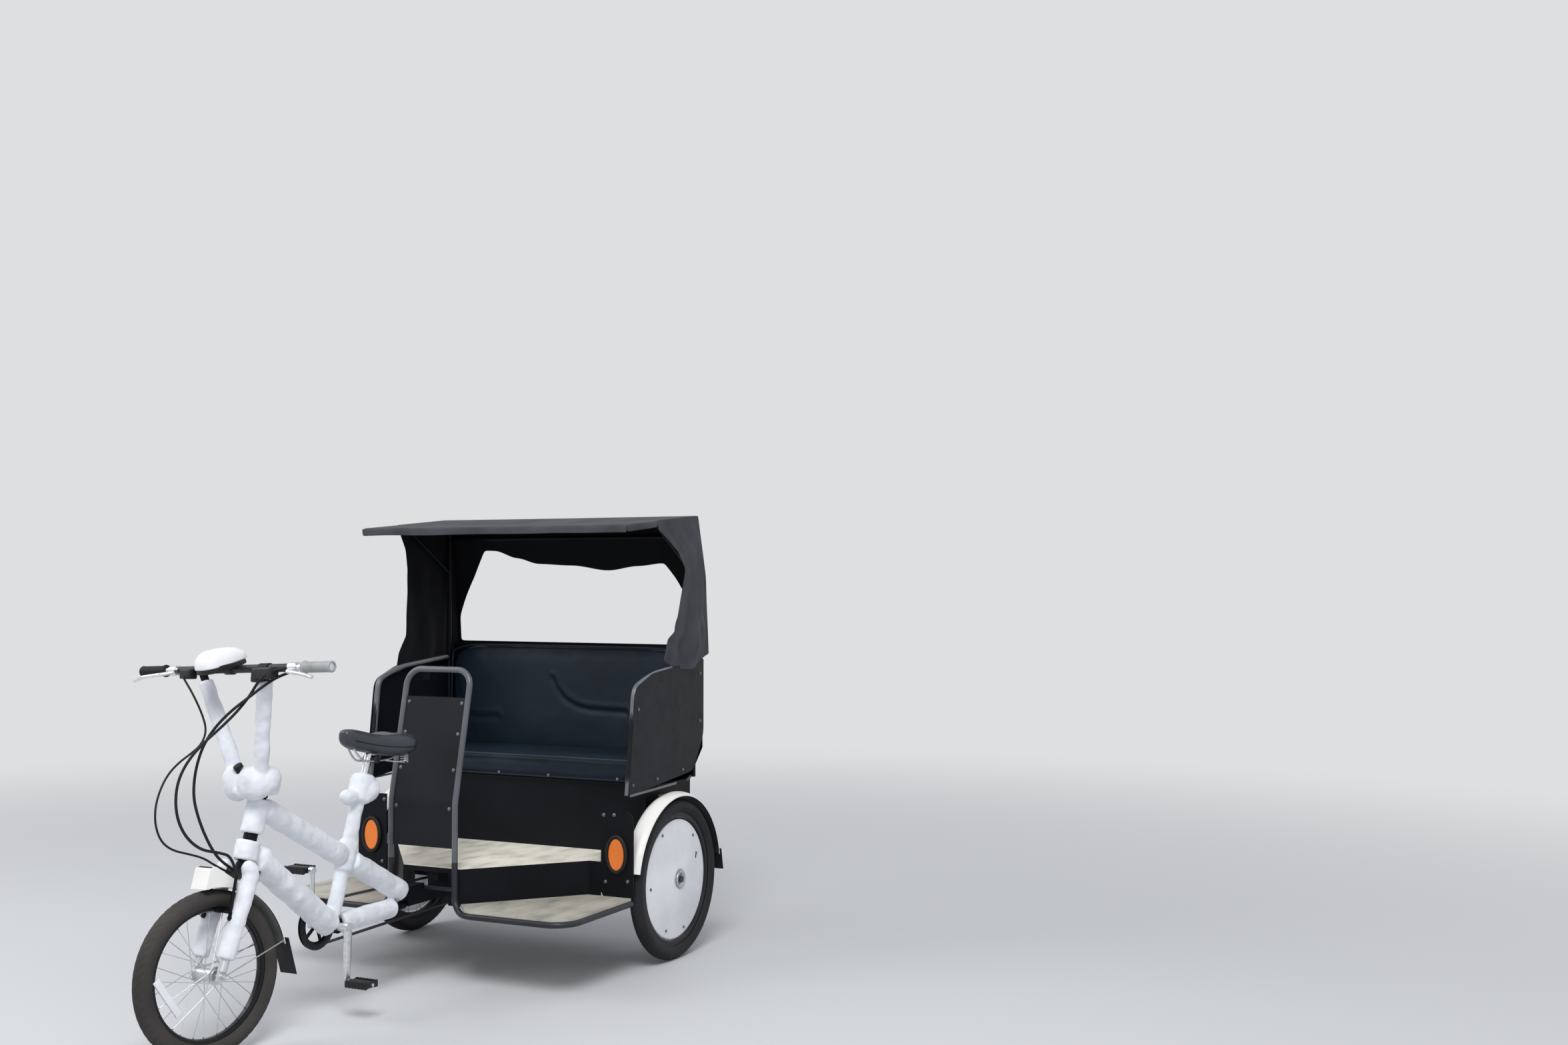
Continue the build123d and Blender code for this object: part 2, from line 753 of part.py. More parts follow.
# Saddle: a narrow nose widening to the rear, drawn as one rounded outline
with BuildPart() as saddle:
    with BuildSketch(Plane.XY.offset(saddle_bottom_z)):
        with BuildLine():
            Polyline(
                (-saddle_nose_width / 2, saddle_rear_y - saddle_length),
                (saddle_nose_width / 2, saddle_rear_y - saddle_length),
                (saddle_waist_width / 2, saddle_rear_y - saddle_length * 0.5),
                (saddle_width / 2, saddle_rear_y - saddle_length * 0.24),
                (saddle_width / 2 - 14, saddle_rear_y),
                (-saddle_width / 2 + 14, saddle_rear_y),
                (-saddle_width / 2, saddle_rear_y - saddle_length * 0.24),
                (-saddle_waist_width / 2, saddle_rear_y - saddle_length * 0.5),
                close=True,
            )
        make_face()
        fillet(vertices(), 16)
    extrude(amount=saddle_height, taper=6)
    fillet(edges().group_by(Axis.Z)[-1], 12)
finished(saddle.part, "saddle")

# Foam sleeves on the cycle frame, bored for the tubes they wrap
arm_reach = Vector(crank_arm_x, 0, 0)
with BuildPart() as frame_foam:
    add(rod(upper_start + upper_run * 40, upper_end - upper_run * 22, upper_foam_radius))
    add(rod(down_start + down_run * 24, bracket - down_run * 4, down_foam_radius))
    add(rod(bracket + seat_run * 34, seat_top - seat_run * 12, seat_foam_radius))
    add(rod(seat_top - seat_run * 66, seat_top + seat_run * 8, seat_lump_radius))
    seat_nose = seat_top - seat_run * 36
    add(rod(seat_nose, seat_nose + Vector(20, -seat_nose_length, -10), seat_nose_radius))
    add(rod(bracket + stay_run * 46, stay_end - stay_run * 66, stay_foam_radius))
    for low, high in ((-92, -30), (4, 104)):
        add(rod(head_point + steering_axis * low, head_point + steering_axis * high, head_foam_radius))
    add(rod(upper_start, upper_end, upper_tube_radius + foam_gap), mode=Mode.SUBTRACT)
    add(rod(down_start, bracket, down_tube_radius + foam_gap), mode=Mode.SUBTRACT)
    add(rod(bracket, seat_top, seat_tube_radius + foam_gap), mode=Mode.SUBTRACT)
    add(rod(seat_top, seat_top + seat_run * 20, seatpost_radius + foam_gap), mode=Mode.SUBTRACT)
    add(rod(bracket, stay_end, stay_radius + foam_gap), mode=Mode.SUBTRACT)
    add(rod(head_bottom, head_top, head_tube_radius + foam_gap), mode=Mode.SUBTRACT)
    for cup_start, cup_height in ((head_top, upper_cup_height), (head_bottom, -lower_cup_height)):
        cup_end = cup_start + steering_axis * cup_height
        cup_room = head_tube_radius + 3 + foam_gap
        add(rod(cup_start, cup_end + steering_axis * cup_height, cup_room), mode=Mode.SUBTRACT)
    add(rod(bracket - arm_reach, bracket + arm_reach, bottom_bracket_radius + 6), mode=Mode.SUBTRACT)
    crown_start = head_point + steering_axis * (crown_top + crown_foam_room)
    crown_end = crown_start - steering_axis * 3 * crown_height
    add(rod(crown_start, crown_end, crown_half + crown_foam_room), mode=Mode.SUBTRACT)
finished(frame_foam.part, "frame_foam")

# Foam sleeves on the steered pieces: fork legs, stem block and risers
with BuildPart() as steering_foam:
    for side in (-1, 1):
        leg_top = Vector(side * fork_half, crown_y, crown_top - 4)
        leg_foot = Vector(side * fork_half, -fork_rake, front_axle_height + fork_leg_radius)
        leg_run = leg_foot - leg_top
        add(rod(leg_top + leg_run * 0.13, leg_top + leg_run * 0.88, leg_foam_radius))
    for foot, head in zip(riser_feet, riser_heads):
        riser_run = head - foot
        add(rod(foot + riser_run * 0.08, foot + riser_run * 0.9, riser_foam_radius))
    wall = stem_foam_wall
    with BuildPart(mode=Mode.PRIVATE) as stem_wrap:
        add(
            slab(
                (-stem_half_width - wall, stem_front - wall - 7, stem_bottom - 6),
                (stem_half_width + wall, stem_back + wall, stem_top + wall + 3),
            )
        )
        fillet(stem_wrap.edges().filter_by(Axis.Z), 20)
    add(stem_wrap.part)
    cup_room = head_tube_radius + 22
    add(rod((0, 0, stem_bottom - 60), (0, 0, stem_bottom - 4), cup_room), mode=Mode.SUBTRACT)
    add(rod((0, 0, 90), (0, 0, steerer_top + 1), stem_collar_radius + foam_gap), mode=Mode.SUBTRACT)
    add(
        slab(
            (-stem_half_width - foam_gap, stem_front - foam_gap, stem_bottom - foam_gap),
            (stem_half_width + foam_gap, stem_back + foam_gap, stem_top + foam_gap),
        ),
        mode=Mode.SUBTRACT,
    )
    for foot, head in zip(riser_feet, riser_heads):
        add(rod(foot, head, riser_tube_radius + foam_gap), mode=Mode.SUBTRACT)
    for side in (-1, 1):
        leg_top = Vector(side * fork_half, crown_y, crown_top - 4)
        leg_foot = Vector(side * fork_half, -fork_rake, front_axle_height + fork_leg_radius)
        add(rod(leg_top, leg_foot, fork_leg_radius + foam_gap), mode=Mode.SUBTRACT)
        boss_back = Vector(side * fork_half, crown_y, boss_z)
        add(rod(boss_back, boss_back + Vector(0, -60, 0), 8), mode=Mode.SUBTRACT)
    add(front_brake.part, mode=Mode.SUBTRACT)
steered(steering_foam.part, "steering_foam")

# Crank set: spindle, two arms, pedal pins, and the chainring on the right
crank_turn = math.radians(crank_angle)
arm_left = Vector(0, -crank_length * math.cos(crank_turn), crank_length * math.sin(crank_turn))
ring_radius = chainring_teeth * chain_pitch / (2 * math.pi)
tooth_width = chain_pitch * 0.55
with BuildPart() as crank:
    add(rod(bracket - arm_reach, bracket + arm_reach, crank_spindle_radius))
    for side in (-1, 1):
        centre = bracket + arm_reach * side
        tip = centre + arm_left * side
        thickness = Vector(crank_arm_radius + 1, 0, 0)
        add(rod(centre - thickness, centre + thickness, crank_boss_radius))
        add(rod(tip - thickness, tip + thickness, 12))
        add(rod(centre, tip, crank_arm_radius))
        add(rod(tip, tip + Vector(side * (pedal_gap + pedal_length + 4), 0, 0), pedal_pin_radius))
        add(rod(bracket + shell_reach * side * 1.03, centre, crank_boss_radius - 3))
    ring_place = Vector(chain_x - chainring_thickness / 2, bracket.Y, bracket.Z)
    with BuildSketch(Plane(origin=ring_place, x_dir=(0, 1, 0), z_dir=(1, 0, 0))):
        Circle(ring_radius - 3)
        Circle(ring_radius - chainring_band, mode=Mode.SUBTRACT)
        with PolarLocations(ring_radius - 1, chainring_teeth):
            Rectangle(8, tooth_width)
        with PolarLocations((ring_radius - 8) / 2, 5):
            Rectangle(ring_radius - 8, 14)
    extrude(amount=chainring_thickness)
finished(crank.part, "crank")

for name, side in (("left_pedal", 1), ("right_pedal", -1)):
    eye = bracket + arm_reach * side + arm_left * side
    pedal_middle = eye + Vector(side * (pedal_gap + pedal_length / 2 + play), 0, 0)
    with BuildPart(mode=Mode.PRIVATE) as pedal:
        with BuildSketch(Plane(origin=pedal_middle - Vector(0, 0, pedal_height / 2))):
            RectangleRounded(pedal_length, pedal_width, 10)
            RectangleRounded(pedal_length - 16, pedal_width - 16, 5, mode=Mode.SUBTRACT)
            Rectangle(pedal_length - 4, 22)
        extrude(amount=pedal_height)
        add(rod(eye, eye + Vector(side * 2 * pedal_length, 0, 0), pedal_pin_radius + running_fit), mode=Mode.SUBTRACT)
    finished(pedal.part, name)

# Differential casing with its sprocket, on the rear axle
sprocket_radius = sprocket_teeth * chain_pitch / (2 * math.pi)
axle_middle = Vector(0, rear_axle_y, rear_axle_z)
casing_start = axle_middle + Vector(chain_x + differential_neck, 0, 0)
with BuildPart() as differential:
    add(rod(casing_start, casing_start + Vector(differential_width, 0, 0), differential_radius))
    fillet(edges().filter_by(GeomType.CIRCLE), 12)
    sprocket_place = Vector(chain_x - sprocket_thickness / 2, rear_axle_y, rear_axle_z)
    with BuildSketch(Plane(origin=sprocket_place, x_dir=(0, 1, 0), z_dir=(1, 0, 0))):
        Circle(sprocket_radius - 3)
        with PolarLocations(sprocket_radius - 1, sprocket_teeth):
            Rectangle(8, tooth_width)
    extrude(amount=sprocket_thickness)
    add(rod(axle_middle + Vector(chain_x, 0, 0), casing_start + Vector(2, 0, 0), 24))
    add(rod(axle_middle - arm_reach * 2, axle_middle + arm_reach * 2, half_shaft_radius), mode=Mode.SUBTRACT)
finished(differential.part, "differential")

# Chain: two rows of plates round the ring and the sprocket, with pins on the free runs
chain_run = Vector(0, axle_middle.Y - bracket.Y, axle_middle.Z - bracket.Z)
run_taper = math.asin((ring_radius - sprocket_radius) / chain_run.length)
run_tilt = math.atan2(chain_run.Z, chain_run.Y)
with BuildPart() as chain:
    for link_x in (chain_x - chain_gap / 2 - chain_plate, chain_x + chain_gap / 2):
        with BuildSketch(Plane(origin=(link_x, 0, 0), x_dir=(0, 1, 0), z_dir=(1, 0, 0))):
            for inset, mode in ((-chain_height / 2, Mode.ADD), (chain_height / 2, Mode.SUBTRACT)):
                with BuildSketch(mode=Mode.PRIVATE) as loop:
                    with Locations((bracket.Y, bracket.Z)):
                        Circle(ring_radius - inset)
                    with Locations((axle_middle.Y, axle_middle.Z)):
                        Circle(sprocket_radius - inset)
                    make_hull()
                add(loop.sketch, mode=mode)
        extrude(amount=chain_plate)
    for run in (1, -1):
        slope = run_tilt - run * run_taper
        along = Vector(0, math.cos(slope), math.sin(slope))
        start = bracket + Vector(chain_x, -run * ring_radius * math.sin(slope), run * ring_radius * math.cos(slope))
        for number in range(3, 22):
            with Locations(start + along * (number * 4 * chain_pitch)):
                Box(chain_gap + chain_plate, chain_height * 0.7, chain_height * 0.7)
finished(chain.part, "chain")

# Chassis: a stepped spine, then cross members and rails with the rear axle's bearing blocks
floor_bottom_z = floor_top_z - floor_thickness
rail_bottom_z = spine_bottom_z + spine_height
front_cross_face = front_cross_y - cross_width / 2
with BuildPart() as spine:
    with BuildSketch(Plane(origin=(-spine_width / 2, 0, 0), x_dir=(0, 1, 0), z_dir=(1, 0, 0))):
        with BuildLine():
            Polyline(
                (spine_front_y, spine_bottom_z),
                (front_cross_face, spine_bottom_z),
                (front_cross_face, floor_bottom_z),
                (floor_front_y + 6, floor_bottom_z),
                (floor_front_y + 6, rail_bottom_z),
                (spine_front_y + spine_nose_length, rail_bottom_z),
                (spine_front_y + spine_nose_length, rail_bottom_z + spine_nose_rise),
                (spine_front_y, rail_bottom_z + spine_nose_rise),
                close=True,
            )
        make_face()
    extrude(amount=spine_width)
finished(spine.part, "spine")

with BuildPart() as chassis:
    for side in (-1, 1):
        add(
            slab(
                (side * rail_x - bearing_width / 2, rear_axle_y - bearing_length / 2, rear_axle_z - bearing_drop),
                (side * rail_x + bearing_width / 2, rear_axle_y + bearing_length / 2, rail_bottom_z),
            )
        )
    fillet(edges().filter_by(Axis.X).group_by(Axis.Z)[0], bearing_drop * 0.8)
    for side in (-1, 1):
        add(
            slab(
                (side * rail_x - rail_width / 2, front_cross_face, rail_bottom_z),
                (side * rail_x + rail_width / 2, rear_cross_y + cross_width / 2, floor_bottom_z),
            )
        )
    for place in (front_cross_y, middle_cross_y, rear_cross_y):
        add(
            slab(
                (-cross_half, place - cross_width / 2, spine_bottom_z),
                (cross_half, place + cross_width / 2, rail_bottom_z),
            )
        )
    axle_reach = Vector(rail_x + bearing_width, 0, 0)
    add(rod(axle_middle - axle_reach, axle_middle + axle_reach, half_shaft_radius), mode=Mode.SUBTRACT)
finished(chassis.part, "chassis")

# Upper floor: narrow across its front edge, widening back past the reflector plates
with BuildSketch(mode=Mode.PRIVATE) as floor_shape:
    with BuildLine():
        Polyline(
            (-floor_front_half, floor_front_y),
            (floor_front_half, floor_front_y),
            (floor_side_half, floor_side_y),
            (floor_side_half, seat_box_front_y),
            (-floor_side_half, seat_box_front_y),
            (-floor_side_half, floor_side_y),
            close=True,
        )
    make_face()
with BuildSketch(mode=Mode.PRIVATE) as riser_shape:
    add(floor_shape.sketch)
    offset(amount=riser_thickness, kind=Kind.INTERSECTION)

with BuildPart() as floor:
    with BuildSketch(Plane.XY.offset(floor_bottom_z)):
        add(floor_shape.sketch)
    extrude(amount=floor_thickness)
finished(floor.part, "floor")

# Riser: a bent sheet round the floor's front, down to the lower steps, open for the chain
step_bottom_z = step_top_z - step_thickness
with BuildPart() as riser:
    with BuildSketch(Plane.XY.offset(step_bottom_z)):
        add(riser_shape.sketch)
        add(floor_shape.sketch, mode=Mode.SUBTRACT)
        with Locations((0, front_cross_face - play + floor_side_half)):
            Rectangle(4 * floor_side_half, 2 * floor_side_half, mode=Mode.SUBTRACT)
    extrude(amount=floor_top_z - step_bottom_z)
    add(
        slab(
            (-chain_notch_half, floor_front_y - 20, step_bottom_z - 1),
            (chain_notch_half, floor_front_y + 20, floor_bottom_z),
        ),
        mode=Mode.SUBTRACT,
    )
    for side in (-1, 1):
        flange_back = front_cross_face - play
        flange_run = (floor_side_half - floor_front_half) / (floor_side_y - floor_front_y)
        flange_start = floor_front_half + flange_run * (flange_back - floor_front_y) + 1
        add(
            slab(
                (side * flange_start, flange_back - riser_thickness, step_bottom_z),
                (side * (plate_x - plate_width / 2 - play), flange_back, floor_top_z),
            )
        )
finished(riser.part, "riser")

# Lower steps, one each side, resting on the border tubes
with BuildPart() as lower_steps:
    with BuildSketch(Plane.XY.offset(step_bottom_z)):
        with BuildLine():
            step_back_y = plate_y - play
            Polyline(
                (floor_front_half + 4, floor_front_y - riser_thickness - play),
                (border_knee_x - 26, border_front_y + 10),
                (border_knee_x, border_front_y),
                (border_half_width, border_front_y),
                (border_back_half, step_back_y),
                (floor_front_half + 40, step_back_y),
                close=True,
            )
        step_face = make_face()
        fillet(vertices().sort_by(Axis.X)[-1], border_corner)
        add(riser_shape.sketch, mode=Mode.SUBTRACT)
    extrude(amount=step_thickness)
    mirror(about=Plane.YZ)
finished(lower_steps.part, "lower_steps")

# Partition hoop, and the tubes that run on from its legs round the steps
border_z = step_bottom_z - hoop_tube_radius - play
hoop_path = [
    (hoop_half_width, hoop_y, hoop_joint_z),
    (hoop_half_width, hoop_y, hoop_bend_z),
    (hoop_half_width, hoop_top_y, hoop_top_z),
    (-hoop_half_width, hoop_top_y, hoop_top_z),
    (-hoop_half_width, hoop_y, hoop_bend_z),
    (-hoop_half_width, hoop_y, hoop_joint_z),
]
finished(bent_rod(hoop_path, [hoop_lean_bend, hoop_corner, hoop_corner, hoop_lean_bend], hoop_tube_radius), "hoop")

border_path = [
    (hoop_half_width, hoop_y, hoop_joint_z),
    (hoop_half_width, hoop_y, border_z),
    (border_knee_x, border_front_y, border_z),
    (border_half_width, border_front_y, border_z),
    (border_back_half, plate_y, border_z),
]
with BuildPart() as step_tubes:
    add(bent_rod(border_path, [border_foot_bend, border_knee_bend, border_corner], hoop_tube_radius))
    mirror(about=Plane.YZ)
    add(
        slab(
            (-hoop_half_width, hoop_y - hoop_tube_radius, rail_bottom_z),
            (hoop_half_width, hoop_y + hoop_tube_radius, rail_bottom_z + bearer_height),
        )
    )
finished(step_tubes.part, "step_tubes")

# Partition panel between the hoop's legs, bent where they lean back
panel_half = hoop_half_width - hoop_tube_radius - play
lean_slope = (hoop_top_y - hoop_y) / (hoop_top_z - hoop_bend_z)
with BuildPart() as partition_panel:
    with BuildSketch(Plane(origin=(-panel_half, 0, 0), x_dir=(0, 1, 0), z_dir=(1, 0, 0))):
        with BuildLine() as panel_line:
            FilletPolyline(
                (hoop_y - partition_thickness / 2, partition_bottom_z),
                (hoop_y - partition_thickness / 2, hoop_bend_z),
                (
                    hoop_y - partition_thickness / 2 + lean_slope * (partition_top_z - hoop_bend_z),
                    partition_top_z,
                ),
                radius=hoop_lean_bend,
            )
            offset(amount=partition_thickness, side=Side.RIGHT)
        make_face()
    extrude(amount=2 * panel_half)
finished(partition_panel.part, "partition_panel")

# Reflector plates with rounded lower corners, and their oval reflectors
with BuildPart() as reflector_plates:
    with BuildSketch(Plane(origin=(0, plate_y, 0), x_dir=(1, 0, 0), z_dir=(0, -1, 0))):
        with Locations((plate_x, (plate_bottom_z + plate_top_z) / 2)):
            Rectangle(plate_width, plate_top_z - plate_bottom_z)
        fillet(vertices().group_by(Axis.Y)[0], plate_corner)
        fillet(vertices().group_by(Axis.Y)[-1].sort_by(Axis.X)[-1], plate_top_corner)
    extrude(amount=-plate_thickness)
    mirror(about=Plane.YZ)
finished(reflector_plates.part, "reflector_plates")

with BuildPart() as reflectors:
    with BuildSketch(Plane(origin=(0, plate_y, 0), x_dir=(1, 0, 0), z_dir=(0, -1, 0))):
        with Locations((plate_x, reflector_z)):
            Ellipse(reflector_width / 2, reflector_height / 2)
    extrude(amount=reflector_depth)
    fillet(edges().group_by(Axis.Y)[0], 3)
    mirror(about=Plane.YZ)
finished(reflectors.part, "reflectors")

# Seat box of four walls, deck, cushion and backrest
deck_bottom_z = seat_deck_top_z - seat_deck_thickness
with BuildPart() as seat_box:
    add(slab((-seat_box_half, seat_box_front_y, floor_bottom_z), (seat_box_half, seat_box_back_y, deck_bottom_z)))
    inner = Vector(seat_box_wall, seat_box_wall, 0)
    add(
        slab(
            Vector(-seat_box_half, seat_box_front_y, floor_bottom_z) + inner,
            Vector(seat_box_half, seat_box_back_y, deck_bottom_z) - inner,
        ),
        mode=Mode.SUBTRACT,
    )
finished(seat_box.part, "seat_box")

deck_half = cab_half_width - panel_thickness
finished(
    slab((-deck_half, seat_box_front_y - 2, deck_bottom_z), (deck_half, back_panel_y, seat_deck_top_z)), "seat_deck"
)

back_face_y = back_panel_y - panel_thickness
backrest_front_y = back_face_y - play - backrest_thickness
with BuildPart() as seat_cushion:
    add(
        slab(
            (-seat_half, seat_front_y, seat_deck_top_z + play),
            (seat_half, backrest_front_y - play, seat_deck_top_z + seat_thickness),
        )
    )
    fillet(edges().filter_by(Axis.X), 24)
finished(seat_cushion.part, "seat_cushion")

with BuildPart() as backrest:
    add(
        slab(
            (-seat_half, backrest_front_y, seat_deck_top_z + play),
            (seat_half, back_face_y - play, backrest_top_z),
        )
    )
    fillet(edges().filter_by(Axis.X).group_by(Axis.Z)[-1], 20)
finished(backrest.part, "backrest")

finished(
    slab((-deck_half, back_face_y, seat_deck_top_z), (deck_half, back_panel_y, back_panel_top_z)), "back_panel"
)

# Side panels: a sheet with a tube along its front and top edges
side_tube_x = cab_half_width - panel_thickness - side_tube_radius + 2
crest_slope = (side_top_z - side_crest_z) / (back_panel_y - side_crest_y)
tube_end_y = canopy_post_y - canopy_tube_radius - side_tube_gap
with BuildPart() as side_panels:
    with BuildSketch(Plane(origin=(cab_half_width - panel_thickness, 0, 0), x_dir=(0, 1, 0), z_dir=(1, 0, 0))):
        with BuildLine():
            Polyline(
                (side_front_y, side_bottom_z),
                (side_shoulder_y, side_shoulder_z),
                (side_crest_y, side_crest_z),
                (back_panel_y, side_top_z),
                (back_panel_y, side_heel_z),
                (side_heel_y, side_heel_low_z),
                close=True,
            )
        make_face()
        for corner_y, corner_z, corner_radius in (
            (side_shoulder_y, side_shoulder_z, 60),
            (side_crest_y, side_crest_z, 120),
            (back_panel_y, side_heel_z, 120),
            (side_heel_y, side_heel_low_z, 60),
        ):
            fillet(vertices().sort_by_distance((corner_y, corner_z))[0], corner_radius)
    extrude(amount=panel_thickness)
    tube_path = [
        (side_tube_x, side_front_y + side_tube_radius, side_bottom_z),
        (side_tube_x, side_shoulder_y + side_tube_radius, side_shoulder_z - side_tube_radius / 2),
        (side_tube_x, side_crest_y + side_tube_radius / 2, side_crest_z - side_tube_radius),
        (side_tube_x, tube_end_y, side_crest_z + crest_slope * (tube_end_y - side_crest_y) - side_tube_radius),
    ]
    add(bent_rod(tube_path, [50, 110], side_tube_radius))
    mirror(about=Plane.YZ)
finished(side_panels.part, "side_panels")

# Rear fenders: arched strips with an arm to the seat box and a foot on the reflector plate
with BuildPart() as rear_fenders:
    left_wheel = Vector(track / 2, rear_axle_y, rear_axle_z)
    add(
        fender_band(
            left_wheel, fender_front_angle, 180 - fender_rear_angle,
            fender_edge_radius, fender_crown_radius, fender_half, fender_skin,
        )
    )
    arm_z = rear_axle_z + fender_edge_radius - 5
    add(
        slab(
            (seat_box_half + play, rear_axle_y - fender_arm_width / 2, arm_z),
            (track / 2 - fender_half + 12, rear_axle_y + fender_arm_width / 2, arm_z + 5),
        )
    )
    foot_z = rear_axle_z + fender_crown_radius * math.sin(math.radians(fender_front_angle))
    foot_y = rear_axle_y - fender_crown_radius * math.cos(math.radians(fender_front_angle))
    add(
        slab(
            (track / 2 - 12, plate_y + plate_thickness + play, foot_z + 2),
            (track / 2 + 12, foot_y + 5, foot_z + 20),
        )
    )
    mirror(about=Plane.YZ)
finished(rear_fenders.part, "rear_fenders")

with BuildPart() as rear_flaps:
    with BuildSketch(Plane(origin=(track / 2 - fender_half, rear_axle_y, rear_axle_z), x_dir=(0, 1, 0), z_dir=(1, 0, 0))):
        with BuildLine():
            hang = fender_crown_radius + play
            Polyline(
                (hang * math.cos(math.radians(12)), hang * math.sin(math.radians(12))),
                ((hang + flap_thickness) * math.cos(math.radians(12)), (hang + flap_thickness) * math.sin(math.radians(12))),
                (hang + 14, -14),
                (hang + 14 - flap_thickness, -14),
                (hang * math.cos(math.radians(9)), hang * math.sin(math.radians(9))),
                close=True,
            )
        make_face()
    extrude(amount=2 * fender_half)
    mirror(about=Plane.YZ)
finished(rear_flaps.part, "rear_flaps")

# Canopy tubes: one bow from post to post, a rear bow between the posts, and two braces
roof_slope = (canopy_rear_z - canopy_front_z) / (canopy_rear_y - canopy_front_y)
roof_drop = (canopy_thickness + play + canopy_tube_radius) * math.sqrt(1 + roof_slope**2)


def under_roof(y):
    """Height of a tube's centre that lies against the underside of the roof."""
    return canopy_front_z + roof_slope * (y - canopy_front_y) - roof_drop


with BuildPart() as canopy_frame:
    bow = [
        (canopy_post_x, canopy_post_y, seat_deck_top_z),
        (canopy_post_x, canopy_post_y, under_roof(canopy_post_y)),
        (canopy_post_x, canopy_bow_y, under_roof(canopy_bow_y)),
        (-canopy_post_x, canopy_bow_y, under_roof(canopy_bow_y)),
        (-canopy_post_x, canopy_post_y, under_roof(canopy_post_y)),
        (-canopy_post_x, canopy_post_y, seat_deck_top_z),
    ]
    add(bent_rod(bow, canopy_bend, canopy_tube_radius))
    rear_bow_z = under_roof(canopy_post_y) - canopy_bend - 12
    add(
        rod(
            (-canopy_post_x, canopy_post_y, rear_bow_z),
            (canopy_post_x, canopy_post_y, rear_bow_z),
            canopy_tube_radius - 1,
        )
    )
    for side in (-1, 1):
        brace_foot = (side * canopy_post_x, canopy_post_y, canopy_brace_z)
        brace_head = (side * canopy_post_x, canopy_brace_y, under_roof(canopy_brace_y))
        add(rod(brace_foot, brace_head, canopy_tube_radius - 2))
finished(canopy_frame.part, "canopy_frame")

# Canopy skins: roof with its front hem, back with the window, and the two side flaps
canopy_inner_half = canopy_half_width - canopy_thickness
with BuildPart() as canopy_skin:
    with BuildSketch(Plane(origin=(-canopy_inner_half, 0, 0), x_dir=(0, 1, 0), z_dir=(1, 0, 0))):
        with BuildLine():
            Polyline(
                (canopy_front_y, canopy_front_z - canopy_hem),
                (canopy_front_y, canopy_front_z),
                (canopy_rear_y, canopy_rear_z),
                (canopy_back_y, canopy_back_z),
                (canopy_tail_y, canopy_tail_z),
            )
            offset(amount=canopy_thickness, side=Side.RIGHT, kind=Kind.INTERSECTION)
        make_face()
    extrude(amount=2 * canopy_inner_half)
behind_roof = slab(
    (-canopy_half_width, canopy_rear_y, canopy_tail_z - 100),
    (canopy_half_width, canopy_rear_y + 400, canopy_rear_z + 100),
)
with BuildPart() as canopy_roof:
    add(canopy_skin.part)
    add(behind_roof, mode=Mode.SUBTRACT)
finished(canopy_roof.part, "canopy_roof")

with BuildPart() as canopy_back:
    add(canopy_skin.part)
    add(behind_roof, mode=Mode.INTERSECT)
    with BuildSketch(Plane(origin=(0, canopy_rear_y, 0), x_dir=(1, 0, 0), z_dir=(0, -1, 0))):
        with BuildLine():
            Polyline(
                (-window_top_half, window_top_z),
                (window_top_half, window_top_z),
                (window_bottom_half, window_bottom_z),
                (-window_bottom_half, window_bottom_z),
                close=True,
            )
        make_face()
        fillet(vertices(), window_corner)
    extrude(amount=-200, mode=Mode.SUBTRACT)
finished(canopy_back.part, "canopy_back")

flap_fronts = {
    1: [(-94, 1172), (-84, 1230), (15, 1318), (70, 1440), (95, 1505), (30, 1576)],
    -1: [(-114, 1160), (-71, 1231), (-73, 1348), (-66, 1507), (-84, 1590)],
}
with BuildPart() as canopy_flaps:
    for side, front_edge in flap_fronts.items():
        flap_origin = (side * canopy_inner_half, rear_axle_y, 0)
        with BuildSketch(Plane(origin=flap_origin, x_dir=(0, 1, 0), z_dir=(1, 0, 0))):
            with BuildLine():
                Polyline(
                    (canopy_front_y - rear_axle_y, canopy_front_z),
                    (canopy_rear_y - rear_axle_y, canopy_rear_z),
                    (canopy_back_y - rear_axle_y, canopy_back_z),
                    (268, 1320),
                    (328, 1200),
                    (225, 1150),
                    (16, 1120),
                    *front_edge,
                    (-127, canopy_front_z + roof_slope * 233 - canopy_hem),
                    (canopy_front_y - rear_axle_y, canopy_front_z - canopy_hem),
                    close=True,
                )
            make_face()
        extrude(amount=side * canopy_thickness)
finished(canopy_flaps.part, "canopy_flaps")

